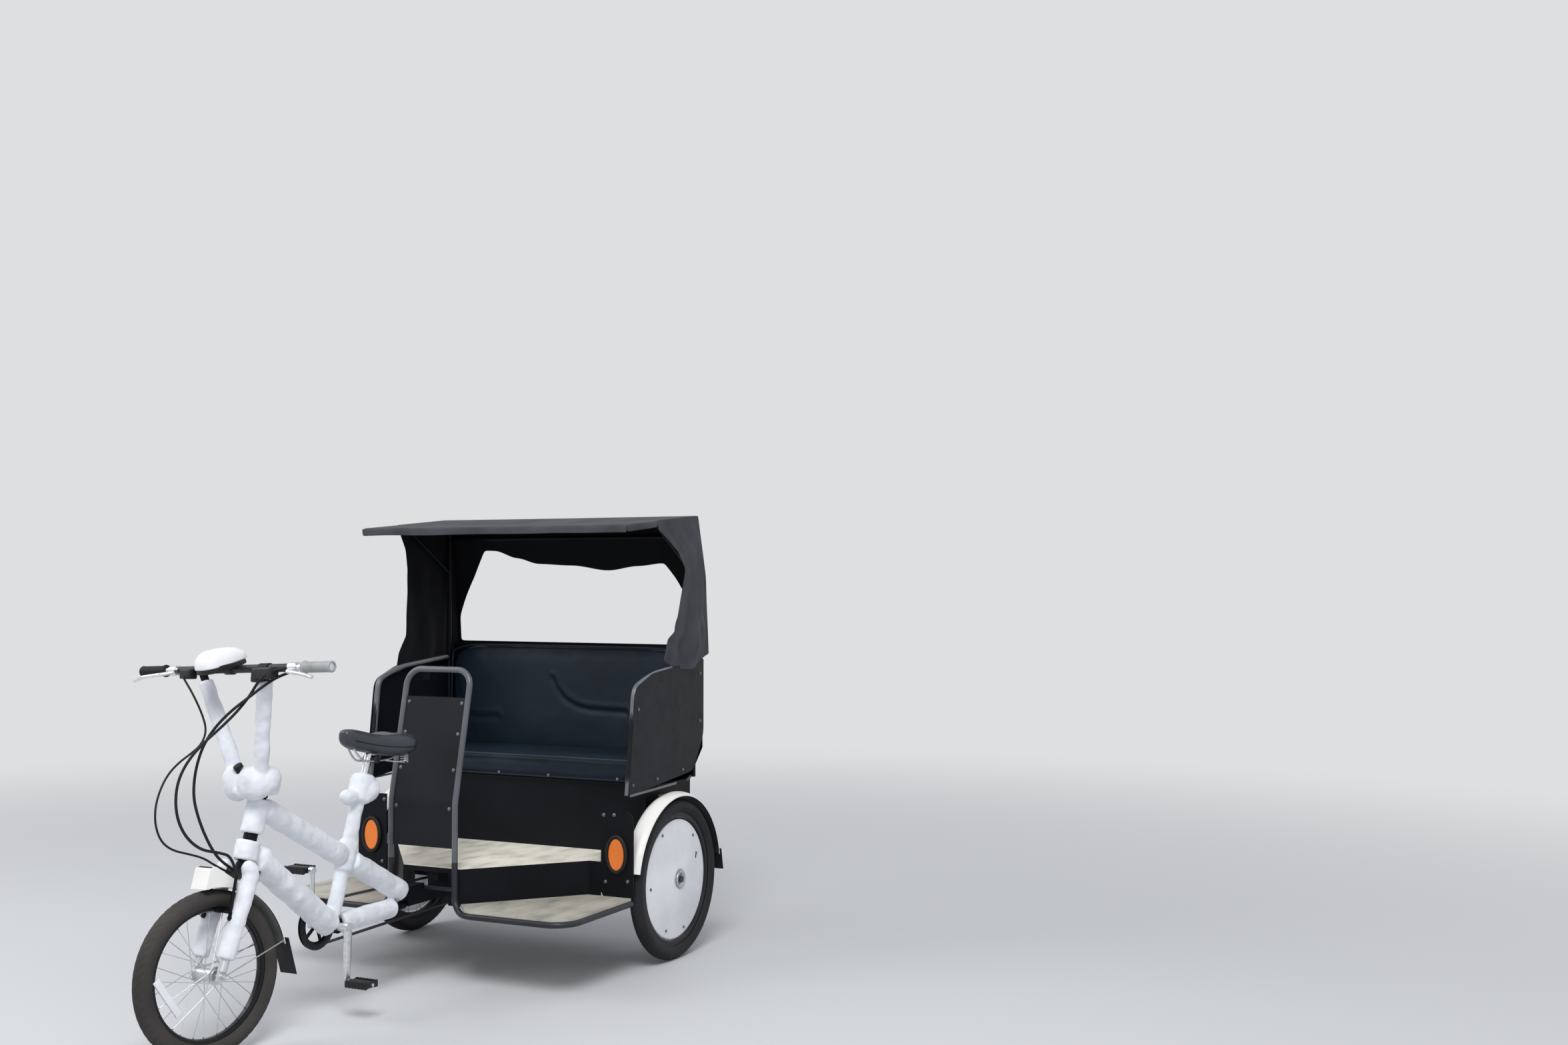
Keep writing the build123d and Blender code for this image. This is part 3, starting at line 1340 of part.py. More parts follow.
# Cables of the steered part, from the levers round to the fork: points chosen by hand, with
# each arc as large as its two runs allow
cable_radii = {"left_brake_cable": 4.0, "left_gear_cable": 4.0, "right_brake_cable": 3.0}
cable_gap = 2.0
cable_seat_gap = 1.6
lever_face = lever_x - cable_seat_gap
arm_top_left = Vector(nose_half + 12, arm_y, crown_bottom + 6 + cable_gap)
crown_face = crown_y - crown_depth / 2 - cable_gap
cable_routes = {
    "left_brake_cable": [
        (lever_face, -226, 470), (222, -238, 462), (178, -242, 430), (146, -238, 378), (118, -252, 322),
        (92, -276, 268), (68, -304, 216), (46, -326, 158), (32, -334, 96), (28, -324, 34),
        (27, -296, -24), (28, -250, -68), (32, -192, -92), (40, -134, -88), (48, -86, -92),
        tuple(arm_top_left),
    ],
    "left_gear_cable": [
        (lever_face, -200, 466), (228, -208, 452), (188, -224, 418), (152, -246, 372), (112, -266, 326),
        (74, -278, 276), (42, -282, 220), (18, -272, 164), (4, -258, 108), (0, -240, 54),
        (0, -208, 4), (0, -170, -42), (2, -128, -84), (2, -84, -112), (2, crown_face, -126),
    ],
    "right_brake_cable": [
        (-lever_face, -226, 470), (-226, -236, 458), (-194, -238, 434), (-166, -216, 394), (-142, -184, 340),
        (-124, -164, 290), (-106, -182, 240), (-86, -226, 200), (-64, -276, 162), (-46, -318, 116),
        (-32, -342, 64), (-24, -350, 10), (-20, -338, -44), (-20, -304, -88), (-24, -254, -106),
        (-26, -192, -106), (-26, -134, -108),
        (-25, -84, -124), (-24, crown_face, -134),
    ],
}
for name, points in cable_routes.items():
    route = [Vector(point) for point in points]
    bends = []
    for before, corner, after in zip(route, route[1:], route[2:]):
        shorter = min((corner - before).length, (after - corner).length)
        turn = math.radians((corner - before).get_angle(after - corner))
        bends.append(0.45 * shorter / math.tan(turn / 2))
    print(name, "bend radii", [round(bend) for bend in bends])
    steered(bent_rod(points, bends, cable_radii[name]), name)
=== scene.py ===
import json
import math

import bpy
import bmesh
from mathutils import Matrix, Vector, noise


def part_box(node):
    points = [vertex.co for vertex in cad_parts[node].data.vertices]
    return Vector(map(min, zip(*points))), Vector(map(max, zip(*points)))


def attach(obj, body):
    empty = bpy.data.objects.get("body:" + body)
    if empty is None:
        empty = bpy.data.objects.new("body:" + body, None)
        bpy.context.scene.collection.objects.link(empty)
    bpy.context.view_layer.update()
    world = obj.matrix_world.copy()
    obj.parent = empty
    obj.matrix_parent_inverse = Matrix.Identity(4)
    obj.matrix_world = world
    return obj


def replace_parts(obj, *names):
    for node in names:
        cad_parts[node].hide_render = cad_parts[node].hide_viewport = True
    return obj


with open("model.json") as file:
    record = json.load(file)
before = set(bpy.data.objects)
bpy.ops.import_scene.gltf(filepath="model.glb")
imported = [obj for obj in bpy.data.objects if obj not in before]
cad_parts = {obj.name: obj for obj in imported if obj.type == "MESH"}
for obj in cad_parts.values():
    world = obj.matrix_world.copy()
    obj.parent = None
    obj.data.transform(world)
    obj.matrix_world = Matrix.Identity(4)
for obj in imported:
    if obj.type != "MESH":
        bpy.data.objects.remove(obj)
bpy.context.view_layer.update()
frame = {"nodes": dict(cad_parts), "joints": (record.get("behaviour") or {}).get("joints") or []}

# Places that the pieces share, in metres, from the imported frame
joints = {joint["name"]: joint for joint in frame["joints"]}
rear_axle_y, rear_axle_z = joints["rear_left_wheel_spin"]["pos_m"][1:]
bracket = Vector(joints["crank_spin"]["pos_m"])
head_point = Vector(joints["steering_turn"]["pos_m"])
steering_axis = Vector(joints["steering_turn"]["axis"]).normalized()
front_axle = Vector(joints["front_wheel_spin"]["pos_m"])
turned_x = Vector(joints["front_wheel_spin"]["axis"]).normalized()
turned_y = steering_axis.cross(turned_x)
steering_frame = Matrix((turned_x, turned_y, steering_axis)).transposed().to_4x4()
steering_frame.translation = head_point
x_axis, y_axis, z_axis = Vector((1, 0, 0)), Vector((0, 1, 0)), Vector((0, 0, 1))
side_names = ((1, "left"), (-1, "right"))
track_half = 0.62
wheel_places = {side: Vector((side * track_half, rear_axle_y, rear_axle_z)) for side, name in side_names}
bar_y, bar_z = -0.212, 0.475  # the handlebar, in the steering frame
seat_front, back_face = rear_axle_y - 0.132, rear_axle_y + 0.2457
panel_rear, panel_half = rear_axle_y + 0.25, 0.612
plate_face = rear_axle_y - 0.34
spine_front = rear_axle_y - 0.862


def add_object(name, data):
    made = bpy.data.objects.new(name, data)
    bpy.context.scene.collection.objects.link(made)
    return made


# ---------------------------------------------------------------- nodes, camera, light and world
def put(tree, socket, value):
    """Gives a node's input a value, or links another node's output to it."""
    if isinstance(value, bpy.types.NodeSocket):
        tree.links.new(value, socket)
    else:
        socket.default_value = value


def add_node(tree, kind, inputs=None, **settings):
    """A shader node with its settings, and its inputs by name or number."""
    made = tree.nodes.new("ShaderNode" + kind)
    for name, value in settings.items():
        setattr(made, name, value)
    for name, value in (inputs or {}).items():
        put(tree, made.inputs[name], value)
    return made


def aim(piece, place, way):
    piece.location = place
    piece.rotation_euler = way.to_track_quat("-Z", "Y").to_euler()


def make_camera():
    """The photograph's view, with the place and the angles that were fitted to the tyres."""
    azimuth, pitch = math.radians(25.627), math.radians(1.837)
    level = math.cos(pitch)
    data = bpy.data.cameras.new("camera")
    data.lens = 38.31
    data.sensor_width = 36.0
    data.clip_end = 200.0
    camera = add_object("camera", data)
    way = Vector((-math.sin(azimuth) * level, math.cos(azimuth) * level, math.sin(pitch)))
    aim(camera, Vector((3.825, rear_axle_y - 5.69, 1.481)), way)
    bpy.context.scene.camera = camera


def make_light(name, place, target, size, power):
    data = bpy.data.lights.new(name, "AREA")
    data.shape = "RECTANGLE"
    data.size, data.size_y = size
    data.energy = power
    aim(add_object(name, data), place, Vector(target) - Vector(place))


pale = {"Color": (0.86, 0.87, 0.88, 1), "Strength": 0.85}
soft = {"Color": (0.93, 0.95, 1.0, 1), "Strength": 0.55}


def seen_by_eye(tree):
    """One for camera, glossy and transmitted rays, which show the background; nought for the object's light."""
    paths = add_node(tree, "LightPath").outputs
    seen = paths["Is Camera Ray"]
    for name in ("Is Glossy Ray", "Is Transmission Ray"):
        seen = add_node(tree, "Math", {0: seen, 1: paths[name]}, operation="MAXIMUM").outputs[0]
    return seen


def make_world():
    world = bpy.data.worlds.new("studio")
    world.use_nodes = True
    tree = world.node_tree
    tree.nodes.clear()
    lit, shown = [add_node(tree, "Background", inputs).outputs[0] for inputs in (soft, pale)]
    mix = add_node(tree, "MixShader", {0: seen_by_eye(tree), 1: lit, 2: shown})
    add_node(tree, "OutputWorld", {0: mix.outputs[0]})
    bpy.context.scene.world = world


make_camera()
make_world()
make_light("key", (3.0, -4.5, 6.5), (0, 0, 0.7), (3.0, 3.0), 400)
make_light("fill", (-4.5, -2.5, 4.5), (0, 0, 0.8), (4.0, 3.0), 130)
make_light("rim", (1.0, 5.0, 5.5), (0, 0.5, 1.0), (5.0, 3.0), 30)
bpy.context.scene.view_settings.view_transform = "Standard"


# ---------------------------------------------------------------- materials
def shade(colour, factor):
    return tuple(min(1.0, part * factor) for part in colour)


class Look:
    """A material in the making, with the object-space place and normal that its nodes read."""

    def __init__(self, name, colour, rough, metallic=0.0, coat=0.0, sheen=0.0, shine=0.5):
        self.colour, self.rough = colour, rough
        self.made = bpy.data.materials.new(name)
        self.made.use_nodes = True
        self.tree = self.made.node_tree
        self.shader = self.tree.nodes["Principled BSDF"]
        for socket, value in {
            "Base Color": (*colour, 1), "Roughness": rough, "Metallic": metallic, "Specular IOR Level": shine,
            "Coat Weight": coat, "Coat Roughness": 0.12, "Sheen Weight": sheen,
        }.items():
            self.set(socket, value)
        outputs = self.add("TexCoord").outputs
        self.place, self.normal = outputs["Object"], outputs["Normal"]

    def set(self, name, value):
        put(self.tree, self.shader.inputs[name], value)

    def add(self, kind, inputs=None, **settings):
        return add_node(self.tree, kind, inputs, **settings)

    def math(self, operation, *values):
        return self.add("Math", dict(enumerate(values)), operation=operation).outputs[0]

    def vectors(self, operation, first, second, output="Vector"):
        return self.add("VectorMath", {0: first, 1: second}, operation=operation).outputs[output]

    def span(self, value, ends, low, high):
        """A value mapped from or to a range."""
        inputs = {"Value": value, ends + " Min": low, ends + " Max": high}
        return self.add("MapRange", inputs).outputs["Result"]

    def noise(self, scale, detail=4.0, stretch=None):
        source = self.place
        if stretch:
            source = self.add("Mapping", {"Vector": source, "Scale": stretch}).outputs["Vector"]
        return self.add("TexNoise", {"Vector": source, "Scale": scale, "Detail": detail}).outputs["Fac"]

    def cells(self, scale):
        return self.add("TexVoronoi", {"Vector": self.place, "Scale": scale}).outputs["Distance"]

    def ramp(self, source, stops):
        made = self.add("ValToRGB", {"Fac": source})
        elements = made.color_ramp.elements
        while len(elements) < len(stops):
            elements.new(0.5)
        for element, (place, colour) in zip(elements, stops):
            element.position = place
            element.color = (*colour, 1)
        return made.outputs["Color"]

    def tones(self, source, *stops):
        """Lighter and darker tones of the material's own colour."""
        tones = self.ramp(source, [(place, shade(self.colour, factor)) for place, factor in stops])
        self.set("Base Color", tones)
        return tones

    def split(self, source, low, high):
        """One colour where the source is nought and another where it is one."""
        self.set("Base Color", self.ramp(source, [(0.0, low), (1.0, high)]))

    def wear(self, scale, less, more):
        """Gloss that varies about the material's own."""
        self.set("Roughness", self.span(self.noise(scale), "To", self.rough - less, self.rough + more))

    def bump(self, source, strength, distance):
        made = self.add("Bump", {"Height": source, "Strength": strength, "Distance": distance})
        before = self.shader.inputs["Normal"].links
        if before:
            put(self.tree, made.inputs["Normal"], before[0].from_socket)
        self.set("Normal", made.outputs["Normal"])

    def outside(self, centre, ways, low, high):
        """Nought on faces turned towards a centre and one on faces turned away, measured along some ways."""
        away = self.vectors("MULTIPLY", self.vectors("SUBTRACT", self.place, centre), ways)
        return self.span(self.vectors("DOT_PRODUCT", away, self.normal, "Value"), "From", low, high)


def painted(name, colour, rough=0.35, coat=0.06, shine=0.3):
    """Sprayed or powder paint: faint orange peel, uneven gloss and a little dust."""
    look = Look(name, colour, rough, coat=coat, shine=shine)
    look.tones(look.noise(5.0), (0.35, 0.75), (0.7, 1.25))
    look.wear(22.0, 0.08, 0.14)
    look.bump(look.noise(160.0, 2.0), 0.12, 0.0006)
    return look.made


def metal(name, colour, rough=0.3):
    """Bare or plated metal with fine brushing and handling marks."""
    look = Look(name, colour, rough, metallic=1.0)
    fine = look.noise(90.0, 3.0)
    look.tones(fine, (0.3, 0.8), (0.7, 1.1))
    look.wear(12.0, 0.08, 0.15)
    look.bump(fine, 0.08, 0.0004)
    return look.made


def plastic(name, colour, rough=0.4, grain=420.0, bump=0.15, spread=0.08, shine=0.4):
    """Moulded plastic or rubber with a fine spark-eroded grain."""
    look = Look(name, colour, rough, shine=shine)
    look.tones(look.noise(7.0), (0.3, 1 - spread), (0.72, 1 + spread))
    look.wear(16.0, 0.06, 0.1)
    look.bump(look.noise(grain, 2.0), bump, 0.0004)
    return look.made


def cloth(name, colour, painted_inside_shade):
    """Plain weave: crossed threads, a slow change of tone, and painted shade: a darker colour on the faces
    turned towards the seat.
    """
    look = Look(name, colour, 0.85, sheen=0.05, shine=0.15)
    look.set("Sheen Roughness", 0.5)
    tones = look.tones(look.noise(6.0), (0.3, 0.8), (0.7, 1.3))
    # Faces turned towards the seat get the darker colour, painted shade for the canopy's unlit inside.
    outside = look.outside((0.0, rear_axle_y - 0.15, 1.25), (1, 1, 1), -0.04, 0.04)
    both = look.add("Mix", {"Factor": outside, "A": (*painted_inside_shade, 1), "B": tones}, data_type="RGBA")
    look.set("Base Color", both.outputs["Result"])
    warp, weft = [look.noise(520.0, 1.0, stretch) for stretch in ((1, 0.05, 0.05), (0.05, 1, 1))]
    look.bump(look.math("ADD", warp, weft), 0.35, 0.0006)
    look.bump(look.noise(14.0, 3.0), 0.25, 0.004)
    return look.made


def leatherette(name, colour, rough=0.45, shine=0.35):
    """Coated upholstery cloth: pebbled cells, soft creases and worn gloss."""
    look = Look(name, colour, rough, shine=shine)
    look.tones(look.noise(4.0), (0.3, 0.75), (0.72, 1.3))
    look.wear(9.0, 0.08, 0.14)
    look.bump(look.cells(520.0), 0.3, 0.0006)
    look.bump(look.noise(11.0, 3.0), 0.2, 0.005)
    return look.made


def foam_wrap(name, colour):
    """Closed-cell foam sleeve: tiny beads, soft dents and a faint blue shade."""
    look = Look(name, colour, 0.6, sheen=0.2)
    look.set("Subsurface Weight", 0.08)
    look.set("Subsurface Radius", (0.01, 0.01, 0.012))
    look.tones(look.noise(18.0), (0.32, 0.84), (0.62, 1.0))
    look.bump(look.cells(260.0), 0.3, 0.0008)
    look.bump(look.noise(26.0, 3.0), 0.5, 0.006)
    return look.made


def floor_board(name, colour):
    """Pale board with streaks along the vehicle and trodden dust."""
    look = Look(name, colour, 0.55)
    streaks = look.noise(7.0, 8.0, (2.6, 1.0, 1.0))
    look.tones(streaks, (0.3, 0.7), (0.44, 0.94), (0.55, 1.08), (0.72, 1.2))
    look.bump(look.noise(150.0, 2.0, (1, 0.2, 1)), 0.25, 0.0008)
    return look.made


def wheel_metal(name, centre, radius):
    """Dark rim outside a radius from the axle, bright spokes and hub inside it."""
    look = Look(name, (0.6, 0.6, 0.62), 0.3, metallic=0.9)
    reach = look.vectors("DISTANCE", look.place, centre, "Value")
    look.split(look.math("GREATER_THAN", reach, radius), (0.62, 0.63, 0.65), (0.03, 0.03, 0.032))
    look.bump(look.noise(120.0), 0.08, 0.0004)
    return look.made


def fender_shell(name, centre):
    """White outside, dark on the face towards the tyre."""
    look = Look(name, (0.8, 0.8, 0.78), 0.35)
    outside = look.outside(centre, (0.0, 1.0, 1.0), -0.16, -0.08)
    look.split(outside, (0.016, 0.016, 0.017), (0.86, 0.85, 0.82))
    look.wear(9.0, 0.09, 0.11)
    look.bump(look.noise(90.0, 2.0), 0.06, 0.0004)
    return look.made


def fork_paint(name, height):
    """Black above a height, bare bright metal below it at the wheel ends."""
    look = Look(name, (0.5, 0.5, 0.5), 0.38, shine=0.3)
    up = look.add("SeparateXYZ", {0: look.place}).outputs["Z"]
    low = look.math("LESS_THAN", up, height)
    look.split(low, (0.0045, 0.005, 0.0065), (0.66, 0.67, 0.69))
    look.set("Metallic", look.math("MULTIPLY", low, 0.7))
    look.bump(look.noise(160.0, 2.0), 0.1, 0.0005)
    return look.made


def crank_metal(name, ring_x, half_width):
    """Bright arms, with everything in the plane of the chainring in black."""
    look = Look(name, (0.6, 0.6, 0.62), 0.3, metallic=0.85)
    across = look.add("SeparateXYZ", {0: look.place}).outputs["X"]
    look.split(look.math("COMPARE", across, ring_x, half_width), (0.7, 0.71, 0.73), (0.012, 0.012, 0.014))
    look.bump(look.noise(120.0), 0.08, 0.0004)
    return look.made


black_paint = painted("black_paint", (0.0035, 0.0042, 0.0066), rough=0.45, coat=0.02, shine=0.14)
hoop_paint = painted("hoop_paint", (0.085, 0.09, 0.104), rough=0.38, coat=0.2, shine=0.5)
border_paint = painted("border_paint", (0.02, 0.022, 0.027), rough=0.4, coat=0.1)
panel_paint = painted("panel_paint", (0.0055, 0.0068, 0.01), rough=0.45, coat=0.03, shine=0.2)
rail_paint = painted("rail_paint", (0.13, 0.135, 0.15), rough=0.38, coat=0.2, shine=0.5)
navy_skin = leatherette("navy_skin", (0.0045, 0.0115, 0.021), rough=0.5, shine=0.25)
# The seat's front piping: the navy skin made lighter, a painted highlight along the real welt.
piping_skin = leatherette("piping_skin", (0.012, 0.022, 0.034))
saddle_skin = leatherette("saddle_skin", (0.02, 0.025, 0.034), rough=0.3, shine=0.7)
# The last colour is painted shade for the inside of the canopy.
canopy_weave = cloth("canopy_weave", (0.056, 0.058, 0.068), (0.004, 0.0045, 0.0062))
foam_white = foam_wrap("foam_white", (0.8, 0.83, 0.88))
rubber = {"grain": 240.0, "bump": 0.3, "spread": 0.25, "shine": 0.25}
tyre_rubber = plastic("tyre_rubber", (0.05, 0.046, 0.043), rough=0.78, **rubber)
# The rear tyres' rubber: the tyre rubber darkened, as painted shade under the cab.
cab_rubber = plastic("cab_rubber", (0.018, 0.0185, 0.021), rough=0.7, **rubber)
soft_rubber = plastic("soft_rubber", (0.008, 0.008, 0.009), rough=0.6, shine=0.3)
black_plastic = plastic("black_plastic", (0.009, 0.009, 0.011), rough=0.45, shine=0.35)
white_shell = plastic("white_shell", (0.8, 0.82, 0.85), rough=0.32, grain=90.0, bump=0.05)
# The near grip's pale grey is a painted sheen of the sky on black rubber.
pale_grip = plastic("pale_grip", (0.34, 0.36, 0.36), rough=0.35, spread=0.3)
amber = plastic("amber", (0.8, 0.2, 0.03), rough=0.18, grain=60.0, bump=0.02)
steel = metal("steel", (0.55, 0.56, 0.58))
bolt_steel = metal("bolt_steel", (0.2, 0.21, 0.24), rough=0.45)
dark_steel = metal("dark_steel", (0.1, 0.1, 0.11), rough=0.45)
silver = metal("silver", (0.8, 0.81, 0.83), rough=0.25)
board = floor_board("board", (0.9, 0.86, 0.75))
# The steps' board is the floor board's colour darkened: painted shade on the lower steps.
step_board = floor_board("step_board", (0.44, 0.415, 0.36))
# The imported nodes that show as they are; pieces below stand for the others
finishes = {
    black_paint: (
        "stem", "front_brake", "head_tube", "upper_tube", "down_tube", "seat_tube", "bottom_bracket",
        "lower_stay", "spine", "chassis", "riser", "canopy_frame", "reflector_plates", "seat_box",
        "differential",
    ),
    hoop_paint: ("hoop",),
    border_paint: ("step_tubes",),
    panel_paint: ("side_panels", "partition_panel"),
    fender_shell("rear_fender_shell", (0.0, rear_axle_y, rear_axle_z)): ("rear_fenders",),
    fender_shell("front_fender_shell", front_axle): ("front_fender",),
    fork_paint("fork_paint", 0.345): ("fork",),
    soft_rubber: ("front_mudflap", "rear_flaps"),
    steel: ("fender_stays",),
    dark_steel: ("left_half_shaft", "right_half_shaft", "chain"),
    crank_metal("crank_metal", -0.058, 0.0095): ("crank",),
    silver: ("handlebar", "seatpost", "brake_levers"),
    board: ("floor",),
    step_board: ("lower_steps",),
    amber: ("reflectors",),
    wheel_metal("left_wheel_metal", wheel_places[1], 0.228): ("rear_left_rim",),
    wheel_metal("right_wheel_metal", wheel_places[-1], 0.228): ("rear_right_rim",),
    wheel_metal("front_wheel_metal", front_axle, 0.186): ("front_rim",),
}
for made, names in finishes.items():
    for name in names:
        materials = frame["nodes"][name].data.materials
        materials.clear()
        materials.append(made)


# ---------------------------------------------------------------- making pieces
def local(x, y, z):
    """A place given in the steering frame, in metres, as a place in the scene."""
    return steering_frame @ Vector((x, y, z))


def add_piece(name, data, made, body):
    """An object of the vehicle, with its material and with the body that it rides on."""
    data.materials.append(made)
    piece = add_object(name, data)
    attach(piece, body)
    return piece


def fix_normals(piece, merge=0.0):
    work = bmesh.new()
    work.from_mesh(piece.data)
    if merge:
        bmesh.ops.remove_doubles(work, verts=work.verts, dist=merge)
    bmesh.ops.recalc_face_normals(work, faces=work.faces)
    work.to_mesh(piece.data)
    work.free()


def new_piece(name, form, made, body, smooth=True, fixed=False):
    """A piece from a form, which is its points and faces."""
    points, faces = form
    mesh = bpy.data.meshes.new(name)
    mesh.from_pydata([tuple(point) for point in points], [], faces)
    mesh.update()
    mesh.shade_smooth() if smooth else mesh.shade_flat()
    piece = add_piece(name, mesh, made, body)
    if fixed:
        fix_normals(piece)
    return piece


def subdivide(piece, levels=1):
    step = piece.modifiers.new("subdivision", "SUBSURF")
    step.levels = step.render_levels = levels


def turns(count):
    """The cosine and the sine at equal steps round a circle."""
    return [(math.cos(2 * math.pi * n / count), math.sin(2 * math.pi * n / count)) for n in range(count)]


def squared(value, power):
    return math.copysign(abs(value) ** power, value)


def grid_faces(rows, columns, wrap_rows=False, wrap_columns=False):
    faces = []
    for row in range(rows if wrap_rows else rows - 1):
        here, down = row * columns, (row + 1) % rows * columns
        for left in range(columns if wrap_columns else columns - 1):
            right = (left + 1) % columns
            faces.append((here + left, here + right, down + right, down + left))
    return faces


def capped(points, rows, count):
    """Rings of points as a form with both ends closed."""
    faces = grid_faces(rows, count, False, True)
    last = len(points) - 1
    return points, faces + [tuple(range(count)), tuple(range(last, last - count, -1))]


def side_pair(run):
    """Two unit directions across a run, at right angles to it and to each other."""
    helper = x_axis if abs(run.normalized().x) < 0.9 else z_axis
    first = run.cross(helper).normalized()
    return first, run.cross(first).normalized()


def revolved(start, end, profile, count=40):
    """A closed profile of (along, radius) turned about the line from start to end."""
    run = (end - start).normalized()
    first, second = side_pair(run)
    points = []
    for cosine, sine in turns(count):
        out = first * cosine + second * sine
        points += [start + run * along + out * radius for along, radius in profile]
    return points, grid_faces(count, len(profile), True, True)


def sleeve(start, end, radius, bore, lip=0.006, step=0.02):
    """A foam sleeve between two places: rounded ends, uneven wall and an open bore."""
    length = (end - start).length
    count = max(4, int(length / step))
    profile = [(0, bore), (0, radius - lip), (lip * 0.4, radius - lip * 0.3)]
    profile += [(lip + (length - 2 * lip) * number / count, radius) for number in range(count + 1)]
    profile += [(length - lip * 0.4, radius - lip * 0.3), (length, radius - lip), (length, bore)]
    profile += [(length * (1 - number / 4), bore) for number in range(1, 4)]
    return revolved(start, end, profile)


def form_of(work):
    """The points and faces of a bmesh, which is then freed."""
    work.verts.index_update()
    points = [vertex.co.copy() for vertex in work.verts]
    faces = [tuple(vertex.index for vertex in face.verts) for face in work.faces]
    work.free()
    return points, faces


def lump(middle, sizes, tilt=0.0):
    """A squashed ball of foam about a place, tilted about X."""
    work = bmesh.new()
    bmesh.ops.create_uvsphere(work, u_segments=40, v_segments=20, radius=1.0)
    points, faces = form_of(work)
    turn = Matrix.Rotation(math.radians(tilt), 3, "X")
    return [turn @ (point * Vector(sizes)) + middle for point in points], faces


def joined(forms):
    points, faces = [], []
    for form_points, form_faces in forms:
        first = len(points)
        points += form_points
        faces += [tuple(first + corner for corner in face) for face in form_faces]
    return points, faces


def remesh(piece, voxel):
    """Gives a piece's crossing forms one skin."""
    step = piece.modifiers.new("remesh", "REMESH")
    step.mode = "VOXEL"
    step.voxel_size = voxel
    made = piece.data.materials[0]
    graph = bpy.context.evaluated_depsgraph_get()
    skin = bpy.data.meshes.new_from_object(piece.evaluated_get(graph))
    piece.modifiers.clear()
    piece.data = skin
    if not skin.materials:
        skin.materials.append(made)
    skin.shade_smooth()


def roughen(piece, amount, size, seed):
    """Moves each point along its normal by smooth noise, as handling leaves soft foam or cloth."""
    offset = Vector((seed, seed * 1.7, seed * 0.3))
    moves = []
    for vertex in piece.data.vertices:
        wave = noise.noise(vertex.co / size + offset) + 0.5 * noise.noise(vertex.co / (size * 0.4) + offset)
        moves.append(vertex.normal * (wave * amount))
    for vertex, move in zip(piece.data.vertices, moves):
        vertex.co += move
    piece.data.update()


def puff(piece, cap, pressure, frames=20):
    """Swells a closed pad as sewn cloth under pressure; no point moves further than the cap."""
    cloth = piece.modifiers.new("cloth", "CLOTH")
    cloth.settings.use_pressure = True
    cloth.settings.uniform_pressure_force = pressure
    cloth.settings.effector_weights.gravity = 0
    scene = bpy.context.scene
    for number in range(1, frames + 1):
        scene.frame_set(number)
    shape = piece.evaluated_get(bpy.context.evaluated_depsgraph_get())
    after = [vertex.co.copy() for vertex in shape.data.vertices]
    piece.modifiers.remove(cloth)
    scene.frame_set(1)
    for vertex, new in zip(piece.data.vertices, after):
        move = new - vertex.co
        if move.length > cap:
            move *= cap / move.length
        vertex.co += move
    piece.data.update()


def keep_within(piece, low, high):
    for vertex in piece.data.vertices:
        vertex.co = [min(max(part, least), most) for part, least, most in zip(vertex.co, low, high)]
    piece.data.update()


def tube(name, points, radius, made, body, slot):
    """A round wire, pipe or cable along a smooth spline."""
    data = bpy.data.curves.new(name, "CURVE")
    data.dimensions = "3D"
    data.bevel_depth = radius
    data.bevel_resolution = 5
    data.resolution_u = 12
    data.use_fill_caps = True
    spline = data.splines.new("NURBS")
    spline.points.add(len(points) - 1)
    for place, point in zip(spline.points, points):
        place.co = (*point, 1)
    spline.order_u = 3
    spline.use_endpoint_u = True
    return add_piece(name, data, made, body)


def rod(start, end, radius, count=24, chamfer=0.001, core=0.0002):
    """A closed bar with softened ends, for axles, pins and nuts."""
    length = (end - start).length
    profile = [(0, core), (0, radius - chamfer), (chamfer, radius), (length - chamfer, radius)]
    return revolved(start, end, profile + [(length, radius - chamfer), (length, core)], count)


def block(middle, sizes, bevel, axes=(x_axis, y_axis, z_axis)):
    """A block with bevelled edges, on three given directions."""
    work = bmesh.new()
    bmesh.ops.create_cube(work, size=1.0)
    for corner in work.verts:
        corner.co = [part * size for part, size in zip(corner.co, sizes)]
    bmesh.ops.bevel(work, geom=work.edges[:], offset=bevel, segments=3, affect="EDGES", profile=0.6)
    points, faces = form_of(work)
    return [middle + axes[0] * x + axes[1] * y + axes[2] * z for x, y, z in points], faces


def unit_axes(first, second):
    first = first.normalized()
    third = first.cross(second).normalized()
    return first, third.cross(first), third


def bolt_heads(name, places, facing, radius, body="frame"):
    """Domed screw heads on washers, all facing one way, as one piece."""
    facing = Vector(facing).normalized()
    washer = ((0, 0), (0, 1.5), (0.25, 1.45), (0.3, 0))
    head = ((0, 0), (0, 1), (0.45, 0.9), (0.75, 0.5), (0.62, 0.42), (0.55, 0))
    parts = []
    for place in places:
        for shape, lift in ((washer, 0), (head, radius * 0.3)):
            start = Vector(place) + facing * lift
            profile = [(along * radius, radius * out or 0.0002) for along, out in shape]
            parts.append(revolved(start, start + facing, profile, 16))
    new_piece(name, joined(parts), bolt_steel, body)


